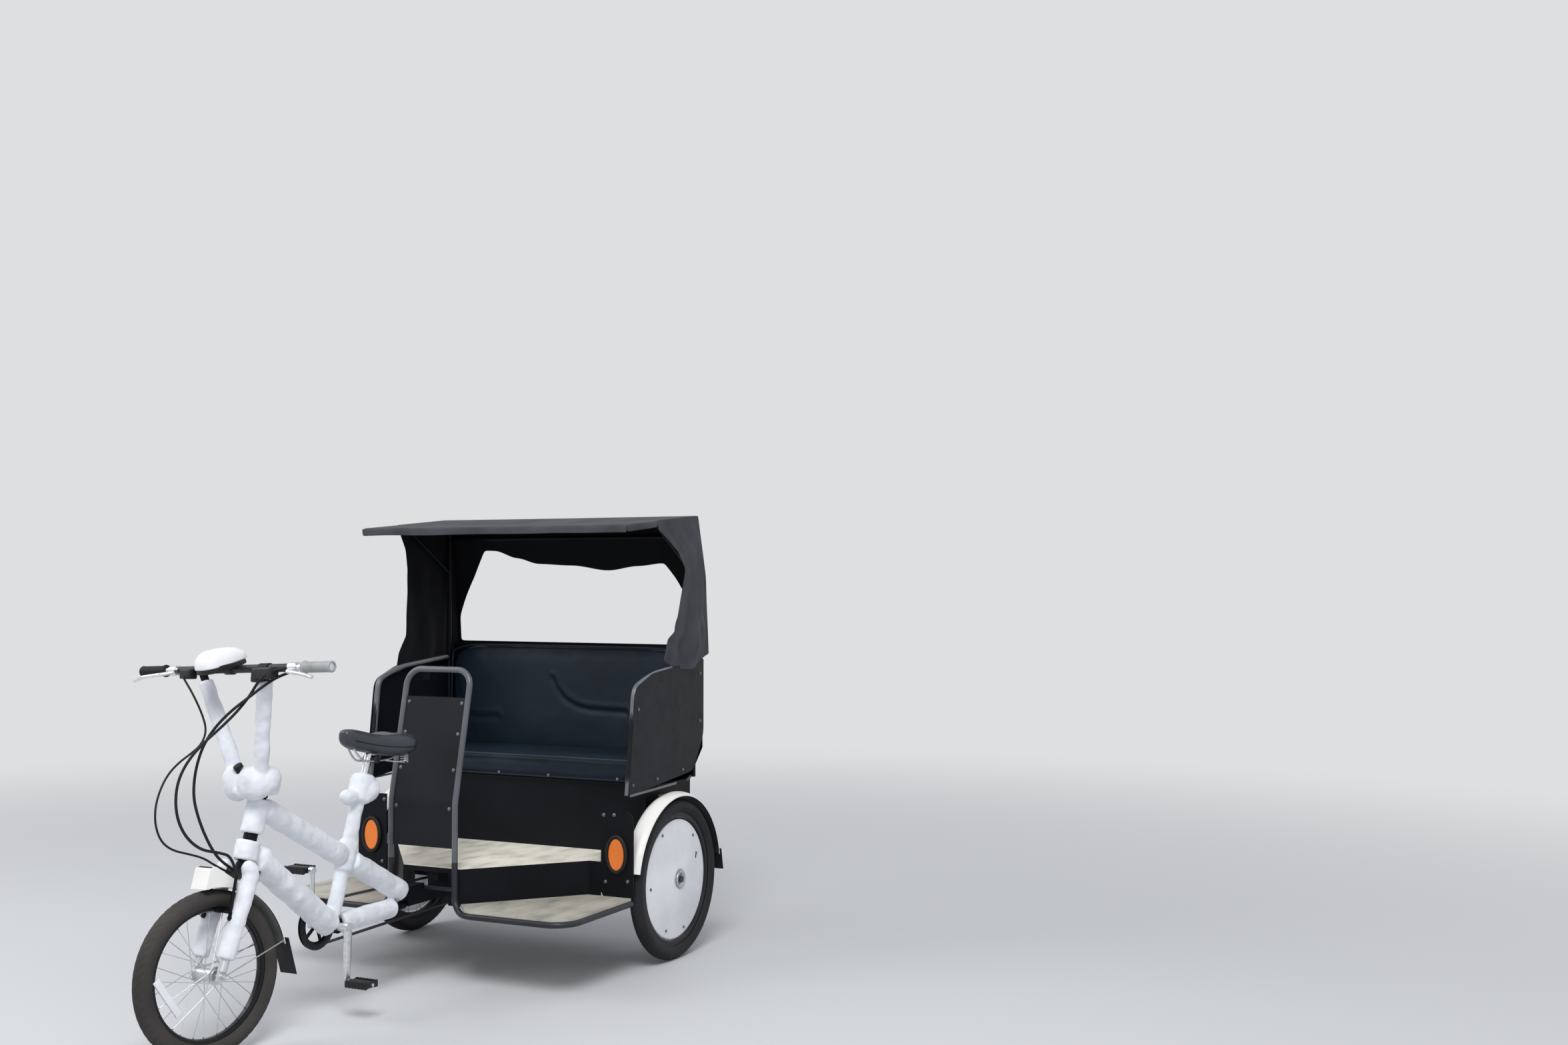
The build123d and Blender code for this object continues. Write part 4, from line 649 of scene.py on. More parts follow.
# ---------------------------------------------------------------- tyres with tread
def make_tyre(node, body, centre, axle, made, radius, width, height, rim_half, blocks):
    """A tyre turned about its axle: sidewall rings, shoulder blocks and a ribbed crown."""
    first, second = side_pair(axle)
    tube_radius = width / 2
    middle = radius - tube_radius
    sidewall, steps = 122, 48  # degrees from the crown to the bead, and points from bead to bead
    across = [(-rim_half, radius - height, None)]
    for number in range(steps + 1):
        angle = math.radians(sidewall * (2 * number / steps - 1))
        across.append((tube_radius * math.sin(angle), middle + tube_radius * math.cos(angle), angle))
    across.append((rim_half, radius - height, None))
    count = blocks * 6
    points = []
    for number, (cosine, sine) in enumerate(turns(count)):
        out = first * cosine + second * sine
        for offset, reach, angle in across:
            cut = 0.0
            if angle is not None:
                away = abs(math.degrees(angle))
                skew = (number + int(away / 9)) % 6
                if 8 < away < 12 or 27 < away < 31:
                    cut = 0.002  # grooves round the crown
                elif 12 <= away <= 56 and skew in (0, 1):
                    cut = 0.0018  # gaps between the blocks
                elif 74 < away < 78 or 98 < away < 101:
                    cut = -0.0006  # sidewall rings
            shrink = 1 - cut / tube_radius
            points.append(centre + axle * offset * shrink + out * (middle + (reach - middle) * shrink))
    form = points, grid_faces(count, len(across), True, True)
    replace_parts(new_piece(node + "_tread", form, made, body, fixed=True), node)


# Radius, width, height, half the rim's width and the number of tread blocks
for side, name in side_names:
    rear_sizes = (0.3075, 0.054, 0.053, 0.019, 72)
    make_tyre(f"rear_{name}_tyre", f"rear_{name}_wheel", wheel_places[side], x_axis, cab_rubber, *rear_sizes)
make_tyre("front_tyre", "front_wheel", front_axle, turned_x, tyre_rubber, 0.257, 0.052, 0.052, 0.018, 60)


# ---------------------------------------------------------------- foam sleeves
def finish_sleeves(name, forms, body, node, wave, seed, voxel=0.0048, dents=0.003):
    """One crumpled skin round all the sleeves of a body."""
    piece = new_piece(name, joined(forms), foam_white, body)
    remesh(piece, voxel)
    roughen(piece, dents, wave, seed)
    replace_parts(piece, node)


def make_frame_sleeves():
    seat_lean = math.radians(18.9)
    seat_run = Vector((0, math.sin(seat_lean), math.cos(seat_lean)))
    seat_top = bracket + seat_run * 0.49
    upper_start, upper_end = head_point + steering_axis * 0.084, Vector((0, spine_front, 0.347))
    down_start, stay_end = head_point - steering_axis * 0.062, Vector((0, spine_front, 0.306))
    upper_run = (upper_end - upper_start).normalized()
    down_run = (bracket - down_start).normalized()
    stay_run = (stay_end - bracket).normalized()
    knee = down_start + down_run * 0.075 + z_axis * 0.012
    forms = [
        sleeve(upper_start + upper_run * 0.028, upper_start + upper_run * 0.454, 0.037, 0.0193),
        sleeve(upper_start + upper_run * 0.506, upper_end - upper_run * 0.022, 0.038, 0.0193, 0.004),
        sleeve(down_start + down_run * 0.052, bracket - down_run * 0.004, 0.042, 0.0223),
        sleeve(bracket + seat_run * 0.036, bracket + seat_run * 0.19, 0.025, 0.0163, 0.004),
        sleeve(bracket + seat_run * 0.18, bracket + seat_run * 0.29, 0.033, 0.0163, 0.01),
        sleeve(bracket + seat_run * 0.28, seat_top - seat_run * 0.012, 0.024, 0.0163, 0.004),
        sleeve(bracket + stay_run * 0.046, stay_end - stay_run * 0.066, 0.034, 0.0143),
        sleeve(head_point - steering_axis * 0.092, head_point - steering_axis * 0.028, 0.039, 0.0253),
        sleeve(head_point - steering_axis * 0.006, head_point + steering_axis * 0.104, 0.036, 0.0223),
        sleeve(seat_top - seat_run * 0.07, seat_top + seat_run * 0.028, 0.043, 0.015, 0.012),
        lump(seat_top + Vector((0, -0.06, -0.045)), (0.03, 0.05, 0.028), -14),
        lump(seat_top + Vector((0.004, 0.014, -0.026)), (0.048, 0.052, 0.046), 10),
        lump(knee, (0.04, 0.05, 0.04), -30),
    ]
    finish_sleeves("frame_sleeves", forms, "frame", "frame_foam", 0.045, 3.0)


def make_steering_sleeves():
    # Fork leg and riser: top, foot, the shares where the sleeve starts and ends, radius and bore
    runs = (
        ((0.064, -0.014, -0.124), (0.064, -0.04, -0.43337), 0.05, 0.88, 0.027, 0.0145),
        ((0.157, -0.212, 0.475), (0.055, -0.056, 0.16), 0.1, 0.96, 0.024, 0.013),
    )
    forms = []
    for side in (-1, 1):
        for top, foot, low, high, radius, bore in runs:
            top, foot = [local(side * x, y, z) for x, y, z in (top, foot)]
            forms.append(sleeve(top.lerp(foot, low), top.lerp(foot, high), radius, bore, 0.005))
        forms.append(lump(local(side * 0.06, -0.017, -0.128), (0.027, 0.027, 0.04), 18))
    steering_axes = (turned_x, turned_y, steering_axis)
    forms.append(block(local(0, -0.034, 0.155), (0.15, 0.112, 0.074), 0.022, steering_axes))
    for place, sizes in (
        ((-0.056, -0.06, 0.138), (0.036, 0.04, 0.06)),
        ((0.036, -0.058, 0.144), (0.056, 0.052, 0.056)),
        ((0.058, -0.03, 0.16), (0.036, 0.052, 0.044)),
        ((0.0, -0.046, 0.128), (0.064, 0.046, 0.032)),
    ):
        forms.append(lump(local(*place), sizes, 18))
    finish_sleeves("steering_sleeves", forms, "steering", "steering_foam", 0.042, 8.0)
    plug = local(-0.018, -0.094, 0.188)
    out = (local(-0.02, -0.116, 0.206) - plug).normalized()
    form = rod(plug - out * 0.02, plug + out * 0.006, 0.015)
    new_piece("stem_plug", form, soft_rubber, "steering")


make_frame_sleeves()
make_steering_sleeves()


# ---------------------------------------------------------------- saddle
def make_saddle():
    # Along the vehicle, half width, top and bottom of each section
    sections = (
        (-0.345, 0.012, 0.948, 0.924), (-0.338, 0.024, 0.957, 0.905), (-0.31, 0.03, 0.958, 0.888),
        (-0.265, 0.033, 0.949, 0.876), (-0.215, 0.04, 0.936, 0.866), (-0.175, 0.056, 0.929, 0.858),
        (-0.14, 0.08, 0.928, 0.85), (-0.11, 0.097, 0.929, 0.846), (-0.082, 0.103, 0.93, 0.846),
        (-0.062, 0.098, 0.927, 0.852), (-0.053, 0.08, 0.919, 0.866), (-0.05, 0.04, 0.906, 0.884),
    )
    count = 36
    points = []
    for place, half, top, bottom in sections:
        for wide, high in turns(count):
            x = half * squared(wide, 0.75)
            z = (top + bottom) / 2 + (top - bottom) / 2 * squared(high, 0.7)
            dish = 0.006 * math.exp(-((x / 0.02) ** 2)) if high > 0 and half > 0.04 else 0.0
            points.append(Vector((x, place, z - dish)))
    form = capped(points, len(sections), count)
    cover = new_piece("saddle_cover", form, saddle_skin, "frame", fixed=True)
    subdivide(cover, 2)
    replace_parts(cover, "saddle")
    seam = [(half * 1.01, place, bottom + (top - bottom) * 0.42) for place, half, top, bottom in sections[2:-2]]
    seam = [(-x, y, z) for x, y, z in seam] + seam[::-1]
    tube("saddle_piping", seam, 0.0018, soft_rubber, "frame", "saddle_cover")
    rail = (
        (0.012, -0.3, 0.89), (0.016, -0.27, 0.846), (0.021, -0.22, 0.838), (0.024, -0.15, 0.836),
        (0.034, -0.11, 0.842), (0.04, -0.085, 0.866),
    )
    foot = ((0.024, -0.15, 0.836), (0.045, -0.118, 0.828), (0.062, -0.088, 0.826))
    coil = [(*turns(12)[number % 12], number / 48) for number in range(49)]
    spring = [(0.013 * cosine, 0.013 * sine - 0.088, 0.826 + 0.03 * rise) for cosine, sine, rise in coil]
    for side in (-1, 1):
        wires = (
            ("rail", [(side * x, y, z) for x, y, z in rail], 0.0035),
            ("spring", [(side * 0.062 + x, y, z) for x, y, z in spring], 0.0022),
            ("bar", [(side * x, y, z) for x, y, z in foot], 0.003),
        )
        for name, line, radius in wires:
            tube(f"saddle_{name}_{side + 1}", line, radius, steel, "frame", "steel")
    clamp = rod(Vector((-0.03, -0.192, 0.842)), Vector((0.03, -0.192, 0.842)), 0.013)
    new_piece("saddle_clamp", clamp, black_plastic, "frame")


make_saddle()


# ---------------------------------------------------------------- seat cushion and backrest
def pad_form(low, high, steps, power, crown):
    """A rounded box on a fine grid, crowned on the side that faces the passenger."""
    middle = [(a + b) / 2 for a, b in zip(low, high)]
    half = [(b - a) / 2 for a, b in zip(low, high)]
    points, index, faces = [], {}, []
    crown_axis, sign, rise = crown

    def corner(cell):
        if cell not in index:
            unit = [2 * part / count - 1 for part, count in zip(cell, steps)]
            largest = max(abs(part) for part in unit)
            length = sum(abs(part) ** power for part in unit) ** (1 / power)
            unit = [part * largest / length for part in unit]
            place = [m + h * u for m, h, u in zip(middle, half, unit)]
            if unit[crown_axis] * sign > 0.5:
                across, up = [unit[other] for other in range(3) if other != crown_axis]
                place[crown_axis] += sign * rise * (1 - across ** 4) * (1 - up ** 4)
            index[cell] = len(points)
            points.append(Vector(place))
        return index[cell]

    for axis in range(3):
        first, second = [other for other in range(3) if other != axis]
        for end in (0, steps[axis]):
            for a in range(steps[first]):
                for b in range(steps[second]):
                    loop = []
                    for da, db in ((0, 0), (1, 0), (1, 1), (0, 1)):
                        cell = [0, 0, 0]
                        cell[axis], cell[first], cell[second] = end, a + da, b + db
                        loop.append(corner(tuple(cell)))
                    faces.append(tuple(loop))
    return points, faces


def crease(piece, path, axis, facing, depth, width):
    """Presses a soft fold along a path of two coordinates into the side of a pad that faces one way."""
    others = [other for other in range(3) if other != axis]
    path = [Vector(point) for point in path]
    for vertex in piece.data.vertices:
        if vertex.normal[axis] * facing < 0.35:
            continue
        here = Vector((vertex.co[others[0]], vertex.co[others[1]]))
        nearest, signed = 1.0, 1.0
        for start, end in zip(path, path[1:]):
            run = end - start
            share = min(max((here - start).dot(run) / run.length_squared, 0.0), 1.0)
            gap = here - (start + run * share)
            if gap.length < nearest:
                nearest, signed = gap.length, run.x * gap.y - run.y * gap.x
        press = depth * math.exp(-((nearest / width) ** 2))
        ridge = 0.6 * depth * math.exp(-(((nearest - 2.2 * width) / width) ** 2)) if signed > 0 else 0.0
        vertex.co[axis] += facing * (ridge - press)
    piece.data.update()


def make_pad(name, node, low, high, steps, crown, limits, seed):
    """A cushion swollen as sewn cloth, with its corners' roundness as a power of the box's distance."""
    power, voxel, swell, pressure, wrinkles, wave = 7, 0.008, 0.009, 4.0, 0.0018, 0.09
    form = pad_form(low, high, steps, power, crown)
    piece = new_piece(name, form, navy_skin, "frame", fixed=True)
    remesh(piece, voxel)
    puff(piece, swell, pressure)
    roughen(piece, wrinkles, wave, seed)
    keep_within(piece, *limits)
    subdivide(piece)
    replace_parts(piece, node)
    return piece


def make_pads():
    deck_z = 0.6803
    seat_pad = make_pad(
        "seat_pad", "seat_cushion", (-0.583, seat_front + 0.002, deck_z), (0.583, back_face - 0.064, 0.764),
        (78, 22, 12), (2, 1, 0.012),
        ((-0.59, seat_front - 0.012, deck_z), (0.59, back_face - 0.063, 0.786)), 2.0,
    )
    back_pad = make_pad(
        "back_pad", "backrest", (-0.583, back_face - 0.0618, 0.7), (0.583, back_face, 1.196),
        (78, 8, 36), (1, -1, 0.01),
        ((-0.59, back_face - 0.084, deck_z), (0.59, back_face, 1.204)), 6.0,
    )
    folds = ((-0.052, 1.052), (-0.036, 1.016), (0.01, 0.968), (0.064, 0.942), (0.125, 0.93), (0.3, 0.924))
    crease(back_pad, folds, 1, -1, 0.007, 0.011)
    crease(back_pad, ((-0.56, 0.905), (-0.43, 0.88), (-0.33, 0.884)), 1, -1, 0.004, 0.012)
    crease(seat_pad, ((-0.3, 0.742), (-0.12, 0.75), (0.08, 0.744)), 1, -1, 0.003, 0.008)


def make_piping():
    """Welted seams along the front edges of the cushion and the top edge of the backrest."""
    # Along the seat's front edge and round the backrest's head, from the corners given below
    seat = (
        (-0.575, 0.05, -0.002), (-0.575, 0.01, 0), (-0.555, 0, 0), (-0.2, -0.001, 0.001), (0.2, -0.001, 0.002),
        (0.555, 0, 0), (0.575, 0.01, 0), (0.575, 0.05, -0.002),
    )
    rest = (
        (-0.578, 0, -0.386), (-0.578, -0.002, -0.066), (-0.56, -0.002, 0), (-0.2, -0.004, 0.004),
        (0.2, -0.004, 0.003), (0.56, -0.002, 0), (0.578, -0.002, -0.066), (0.578, 0, -0.386),
    )
    front, top, face, head = seat_front - 0.004, 0.768, back_face - 0.062, 1.186
    lines = (
        # The top front piping is lighter as a painted highlight; the other piping is plain navy.
        ("seat_piping", [(x, front + y, top + z) for x, y, z in seat], 0.0042, piping_skin),
        ("seat_piping_low", [(x, front + y + 0.003, 0.69) for x, y, z in seat], 0.0036, navy_skin),
        ("back_piping", [(x, face + y, head + z) for x, y, z in rest], 0.0038, navy_skin),
    )
    for line in lines:
        tube(*line, "frame", "seat_cover")


make_pads()
make_piping()


# ---------------------------------------------------------------- canopy, one continuous sheet
def along(path, share):
    """A point of a polyline at a share of its length."""
    path = [Vector(point) for point in path]
    lengths = [(b - a).length for a, b in zip(path, path[1:])]
    goal = share * sum(lengths)
    for start, end, length in zip(path, path[1:], lengths):
        if goal <= length or end is path[-1]:
            return start.lerp(end, min(goal / length, 1.0))
        goal -= length


def step_ease(value):
    value = min(max(value, 0.0), 1.0)
    return value * value * (3 - 2 * value)


# Measured from the rear axle along the vehicle
canopy_half = 0.62
roof_front, roof_rear = -0.36, 0.196
roof_front_z, roof_rear_z = 1.672, 1.7225
flap_share = 10 / 24  # of the roof's depth, in front of the flaps
# Where the strip over the rear window ends, where the window ends, and where its sides are, as shares
strip_end, window_end, window_side = 0.35, 0.9, 0.15
# The strip's sagging lower edge, as x and z
strip_marks = (
    (-0.62, 1.6), (-0.392, 1.588), (-0.282, 1.556), (-0.176, 1.531), (-0.01, 1.524), (0.163, 1.503),
    (0.31, 1.521), (0.43, 1.532), (0.526, 1.545), (0.62, 1.56),
)
# Each flap's front edge below the roof, as y and z
flap_edges = {
    1: (
        (-0.127, 1.66), (0.03, 1.576), (0.09, 1.505), (0.068, 1.44), (0.015, 1.318), (-0.088, 1.235),
        (-0.1, 1.168),
    ),
    -1: ((-0.118, 1.65), (-0.084, 1.59), (-0.066, 1.507), (-0.073, 1.348), (-0.071, 1.231), (-0.112, 1.16)),
}


def roof_y(share):
    return roof_front + (roof_rear - roof_front) * share


def roof_z(y):
    return roof_front_z + (roof_rear_z - roof_front_z) * (y - roof_front) / (roof_rear - roof_front)


def roof(row, column):
    y, x = roof_y(row), canopy_half * (2 * column - 1)
    span = math.sin(math.pi * row) * (1 - (x / canopy_half) ** 2)
    ripple = 0.0022 * noise.noise(Vector((x * 6, y * 9, 1.3))) * (1 - (x / canopy_half) ** 8)
    return x, y, roof_z(y) - 0.017 * span + ripple * math.sin(math.pi * row)


def front_hem(row, column):
    x, y, z = roof(0, column)
    wave = 0.003 * noise.noise(Vector((x * 5, 3.1, 0)))
    return x, y + 0.004 * row, z - (0.03 + wave) * row


def strip_line(x):
    for (x0, z0), (x1, z1) in zip(strip_marks, strip_marks[1:]):
        if x <= x1:
            return z0 + (z1 - z0) * step_ease((x - x0) / (x1 - x0))
    return strip_marks[-1][1]


def back(row, column):
    """The back cloth: a strip above the window, the sides beside it and the hem below it."""
    top, high, low, bottom = roof_z(roof_rear), 1.54, 1.201, 1.166
    if row < strip_end:
        z = top + (high - top) * row / strip_end
    elif row < window_end:
        z = high + (low - high) * (row - strip_end) / (window_end - strip_end)
    else:
        z = low + (bottom - low) * (row - window_end) / (1 - window_end)
    drop = min(max((z - low) / (high - low), 0), 1)
    near = 0.585 - 0.15 * drop ** 1.6
    far = min(near + 0.035 * (1 - drop) + 0.01, 0.603)
    if row == 0:
        x = canopy_half * (2 * column - 1)
    elif column < window_side:
        x = -canopy_half + (canopy_half - far) * column / window_side
    elif column > 1 - window_side:
        x = near + (canopy_half - near) * (column - 1 + window_side) / window_side
    else:
        x = (near if column > 0.5 else far) * (column - 0.5) / (0.5 - window_side)
    if row < strip_end:
        z += (strip_line(x) - high) * (row / strip_end) ** 1.5
    elif row < window_end:
        z += (strip_line(x) - high) * drop
    y = roof_rear + 0.066 * min((top - z) / 0.2465, 1) + 0.023 * max(0, (1.476 - z) / 0.284)
    if abs(x) < canopy_half:
        y += 0.006 * noise.noise(Vector((x * 5, z * 5, 7.0))) * math.sin(math.pi * row)
    return x, y, z


def flap(side):
    """A side flap from its free front edge to the back cloth, gathered into folds towards its foot."""
    front = ((roof_y(flap_share), roof_z(-0.128)), *flap_edges[side])

    def place(row, column):
        if row == 0:
            y = roof_y(flap_share + (1 - flap_share) * column)
            return side * canopy_half, y, roof_z(y)
        point = along(front, row).lerp(Vector(back(row, max(side, 0))[1:]), column)
        sag = 0.055 * math.sin(math.pi * column) * row ** 3
        deep = 0.013 if side > 0 else 0.009
        fold = math.sin(column * 9.5 + 1.6 * row + 0.8 * side) + 0.4 * math.sin(column * 21 - 4 * row)
        gather = step_ease((row - 0.4) / 0.55)
        out = deep * gather * fold + 0.005 * noise.noise(Vector((column * 5, row * 4, side * 3.0)))
        if side > 0 and row > 0.7:
            roll = math.sin(math.pi * (row - 0.7) / 0.3)
            out += 0.02 * roll * (0.6 + noise.noise(Vector((column * 4, row * 9, 5.0))))
        out *= (1 - column ** 14) * min(row / 0.1, 1.0)
        return side * (canopy_half + out), point.x, point.y - sag

    return place


def skirt(row, column):
    """The far flap's foot, which hangs on behind the side panel."""
    x, y, z = flap(-1)(1.0, column)
    return x - 0.003 * row * (1 - column), y - 0.016 * row * (1 - column), z - (0.085 - 0.03 * column) * row


def side_hem(side):
    def place(row, column):
        y = roof_y(flap_share * column)
        return side * canopy_half, y + 0.004 * row * (1 - column), roof_z(y) - 0.028 * row * (1 - 0.1 * column)

    return place


def make_canopy():
    work = bmesh.new()
    index = {}

    def corner(point):
        key = tuple(round(part, 5) for part in point)
        if key not in index:
            index[key] = work.verts.new((point[0], point[1] + rear_axle_y, point[2]))
        return index[key]

    def add_grid(place, rows, columns, hole=None):
        grid = [[corner(place(r / rows, c / columns)) for c in range(columns + 1)] for r in range(rows + 1)]
        for r in range(rows):
            for c in range(columns):
                loop = [grid[r][c], grid[r][c + 1], grid[r + 1][c + 1], grid[r + 1][c]]
                if len(set(loop)) == 4 and not (hole and r in hole[0] and c in hole[1]):
                    work.faces.new(loop)

    add_grid(roof, 24, 60)
    add_grid(front_hem, 3, 60)
    add_grid(back, 40, 60, (range(14, 36), range(9, 51)))
    for side in (-1, 1):
        add_grid(flap(side), 40, 56)
        add_grid(side_hem(side), 2, 10)
    add_grid(skirt, 6, 56)
    bmesh.ops.remove_doubles(work, verts=work.verts, dist=0.0006)
    bmesh.ops.recalc_face_normals(work, faces=work.faces)
    area = sum(face.calc_area() for face in work.faces)
    mesh = bpy.data.meshes.new("canopy_sheet")
    work.to_mesh(mesh)
    work.free()
    mesh.shade_smooth()
    piece = add_piece("canopy_sheet", mesh, canopy_weave, "frame")
    thick = piece.modifiers.new("thickness", "SOLIDIFY")
    thick.thickness = 0.0024
    thick.offset = 0.0
    subdivide(piece)
    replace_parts(piece, "canopy_roof", "canopy_back", "canopy_flaps")


make_canopy()


# ---------------------------------------------------------------- cables
def make_cables():
    # Radius in metres, and the route in millimetres in the steering frame
    routes = {
        "left_brake_cable": (0.004, (
            (274.4, -226, 470), (222, -238, 462), (178, -242, 430), (146, -238, 378), (118, -252, 322),
            (92, -276, 268), (68, -304, 216), (46, -326, 158), (32, -334, 96), (28, -324, 34),
            (27, -296, -24), (28, -250, -68), (32, -192, -92), (40, -134, -88), (48, -86, -92), (50, -57, -144),
        )),
        "left_gear_cable": (0.004, (
            (274.4, -200, 466), (228, -208, 452), (188, -224, 418), (152, -246, 372), (112, -266, 326),
            (74, -278, 276), (42, -282, 220), (18, -272, 164), (4, -258, 108), (0, -240, 54),
            (0, -208, 4), (0, -170, -42), (2, -128, -84), (2, -84, -112), (2, -36, -126),
        )),
        "right_brake_cable": (0.003, (
            (-274.4, -226, 470), (-226, -236, 458), (-194, -238, 434), (-166, -216, 394), (-142, -184, 340),
            (-124, -164, 290), (-106, -182, 240), (-86, -226, 200), (-64, -276, 162), (-46, -318, 116),
            (-32, -342, 64), (-24, -350, 10), (-20, -338, -44), (-20, -304, -88), (-24, -254, -106),
            (-26, -192, -106), (-26, -134, -108), (-25, -84, -124), (-24, -36, -134),
        )),
    }
    cover = 1.12  # the cable's jacket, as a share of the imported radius
    for node, (radius, route) in routes.items():
        places = [local(x / 1000, y / 1000, z / 1000) for x, y, z in route]
        piece = tube(node + "_line", places, radius * cover, soft_rubber, "steering", "black_plastic")
        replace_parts(piece, node)


make_cables()


# ---------------------------------------------------------------- handlebar, console and front wheel trim
def make_console():
    """White domed lid on a black base, tipped forwards about the bar."""
    tip = math.radians(31.0)
    up, ahead = Vector((0, -math.sin(tip), math.cos(tip))), Vector((0, -math.cos(tip), -math.sin(tip)))
    origin = Vector((-0.016, bar_y, bar_z))

    def shell(bottom, top, half_x, half_y, power, rows=14, count=48):
        points = []
        for row in range(rows + 1):
            share = row / rows
            height = bottom + (top - bottom) * share
            narrow = max(1 - share ** power, 0.0) ** (1 / power)
            for wide, deep in turns(count):
                x = half_x * narrow * squared(wide, 0.8)
                y = half_y * narrow * squared(deep, 0.8) * (1 - 0.16 * deep)
                place = origin + x_axis * x + ahead * (0.038 + y) + up * (height + 0.1 * y * share)
                points.append(local(*place))
        return points, grid_faces(rows + 1, count, False, True) + [tuple(range(count))]

    for name, form, made in (
        ("console_lid", shell(0.026, 0.078, 0.053, 0.086, 2.4), white_shell),
        ("console_base", shell(0.01, 0.032, 0.054, 0.08, 9.0), black_plastic),
    ):
        piece = new_piece(name, form, made, "steering")
        fix_normals(piece, merge=0.0003)
        if name == "console_lid":
            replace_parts(piece, "console")
    saddle = rod(local(-0.034, bar_y, bar_z), local(0.006, bar_y, bar_z), 0.0175, 32, 0.003)
    foot = rod(local(-0.016, bar_y, 0.486), local(-0.016, -0.222, 0.5), 0.02, 32, 0.002)
    new_piece("console_clamp", joined([saddle, foot]), black_plastic, "steering")


def make_bar():
    """A black wrap on the bar, and switch housings taped under it beside each riser."""
    wrap = [local(x, bar_y, bar_z) for x in (-0.268, -0.18, -0.1, 0.0, 0.1, 0.18, 0.268)]
    tube("bar_wrap", wrap, 0.0132, black_plastic, "steering", "black_plastic")
    axes = unit_axes(turned_x, local(0, -0.3, 0.44) - local(0, 0, 0.5))
    forms = [
        block(local(0.188, -0.226, 0.455), (0.072, 0.036, 0.036), 0.008, axes),
        block(local(0.14, -0.222, 0.45), (0.034, 0.03, 0.044), 0.007, axes),
        block(local(-0.204, -0.224, 0.459), (0.052, 0.034, 0.032), 0.007, axes),
    ]
    new_piece("switch_pods", joined(forms), black_plastic, "steering")


def make_grips(ribs=18):
    for side, name in side_names:
        start, end = local(side * 0.338, bar_y, bar_z), local(side * 0.4655, bar_y, bar_z)
        length = (end - start).length
        profile = [(0, 0.0115), (0, 0.019), (0.005, 0.0205), (0.008, 0.0175)]
        for number in range(ribs):
            low = 0.012 + (length - 0.026) * number / ribs
            profile += [(low, 0.015), (low + 0.0016, 0.0172), (low + 0.0046, 0.0172), (low + 0.006, 0.015)]
        profile += [(length - 0.01, 0.0172), (length - 0.004, 0.0182), (length, 0.015), (length, 0.0115)]
        # The near grip takes the painted sheen; the far grip is plain black rubber.
        made = pale_grip if side > 0 else soft_rubber
        form = revolved(start, end, profile)
        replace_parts(new_piece(name + "_grip_cover", form, made, "steering", fixed=True), "grips")


def make_spoke_reflector():
    ends = [Vector(end) for end in ((0.02, -1.065, 0.16), (0.02, -1.145, 0.279))]
    low, high = [end + turned_x * ((front_axle - end).dot(turned_x) + 0.016) for end in ends]
    axes = unit_axes(high - low, turned_x)
    form = block((low + high) / 2, ((high - low).length, 0.007, 0.024), 0.003, axes)
    new_piece("spoke_reflector", form, white_shell, "front_wheel")


make_console()
make_bar()
make_grips()
make_spoke_reflector()


# ---------------------------------------------------------------- crank, pedals and covers
def make_arm_cover(count=24):
    """The near crank arm: a flat forged blade, broad at the spindle."""
    # Rise, half depth and half width of each section
    rows = (
        (0.012, 0.01, 0.005), (0.006, 0.016, 0.008), (-0.02, 0.017, 0.0088), (-0.09, 0.014, 0.008),
        (-0.15, 0.012, 0.0074), (-0.176, 0.012, 0.007), (-0.188, 0.0085, 0.005),
    )
    points = []
    for rise, deep, wide in rows:
        for cosine, sine in turns(count):
            x, y = 0.0765 + wide * squared(cosine, 0.6), deep * squared(sine, 0.6)
            points.append(Vector((x, bracket.y + y + rise * 0.0175, bracket.z + rise)))
    form = capped(points, len(rows), count)
    subdivide(new_piece("crank_blade", form, silver, "crank", fixed=True))


def make_chain_guard():
    """Black rings on both faces of the chainring, hiding the chain."""
    forms = []
    for x, outer in ((-0.066, 0.083), (-0.0532, 0.086)):
        profile = [(0, 0.063), (0, outer - 0.002), (0.0012, outer), (0.0026, outer), (0.0038, outer - 0.002)]
        start = Vector((x, bracket.y, bracket.z))
        forms.append(revolved(start, start + x_axis, profile + [(0.0038, 0.063)], 96))
    new_piece("chain_guard", joined(forms), black_plastic, "crank", fixed=True)


def make_pedals():
    for name in ("left_pedal", "right_pedal"):
        low, high = [Vector(corner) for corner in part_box(name)]
        middle, size = (low + high) / 2, high - low
        forms = [block(middle, (size.x - 0.004, 0.026, 0.02), 0.004)]
        for end in (-1, 1):
            edge = middle + y_axis * end * (size.y / 2 - 0.005)
            forms.append(block(edge, (size.x, 0.009, size.z), 0.003))
            for number in range(-3, 4):
                forms.append(block(edge + x_axis * number * 0.013, (0.006, 0.01, size.z + 0.002), 0.001))
            plate = middle + x_axis * end * (size.x / 2 - 0.005)
            forms.append(block(plate, (0.009, size.y - 0.006, size.z - 0.004), 0.003))
            rib = middle + x_axis * end * 0.018
            forms.append(block(rib, (0.006, size.y - 0.01, size.z - 0.008), 0.002))
        piece = new_piece(name + "_cage", joined(forms), black_plastic, name, smooth=False)
        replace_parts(piece, name)


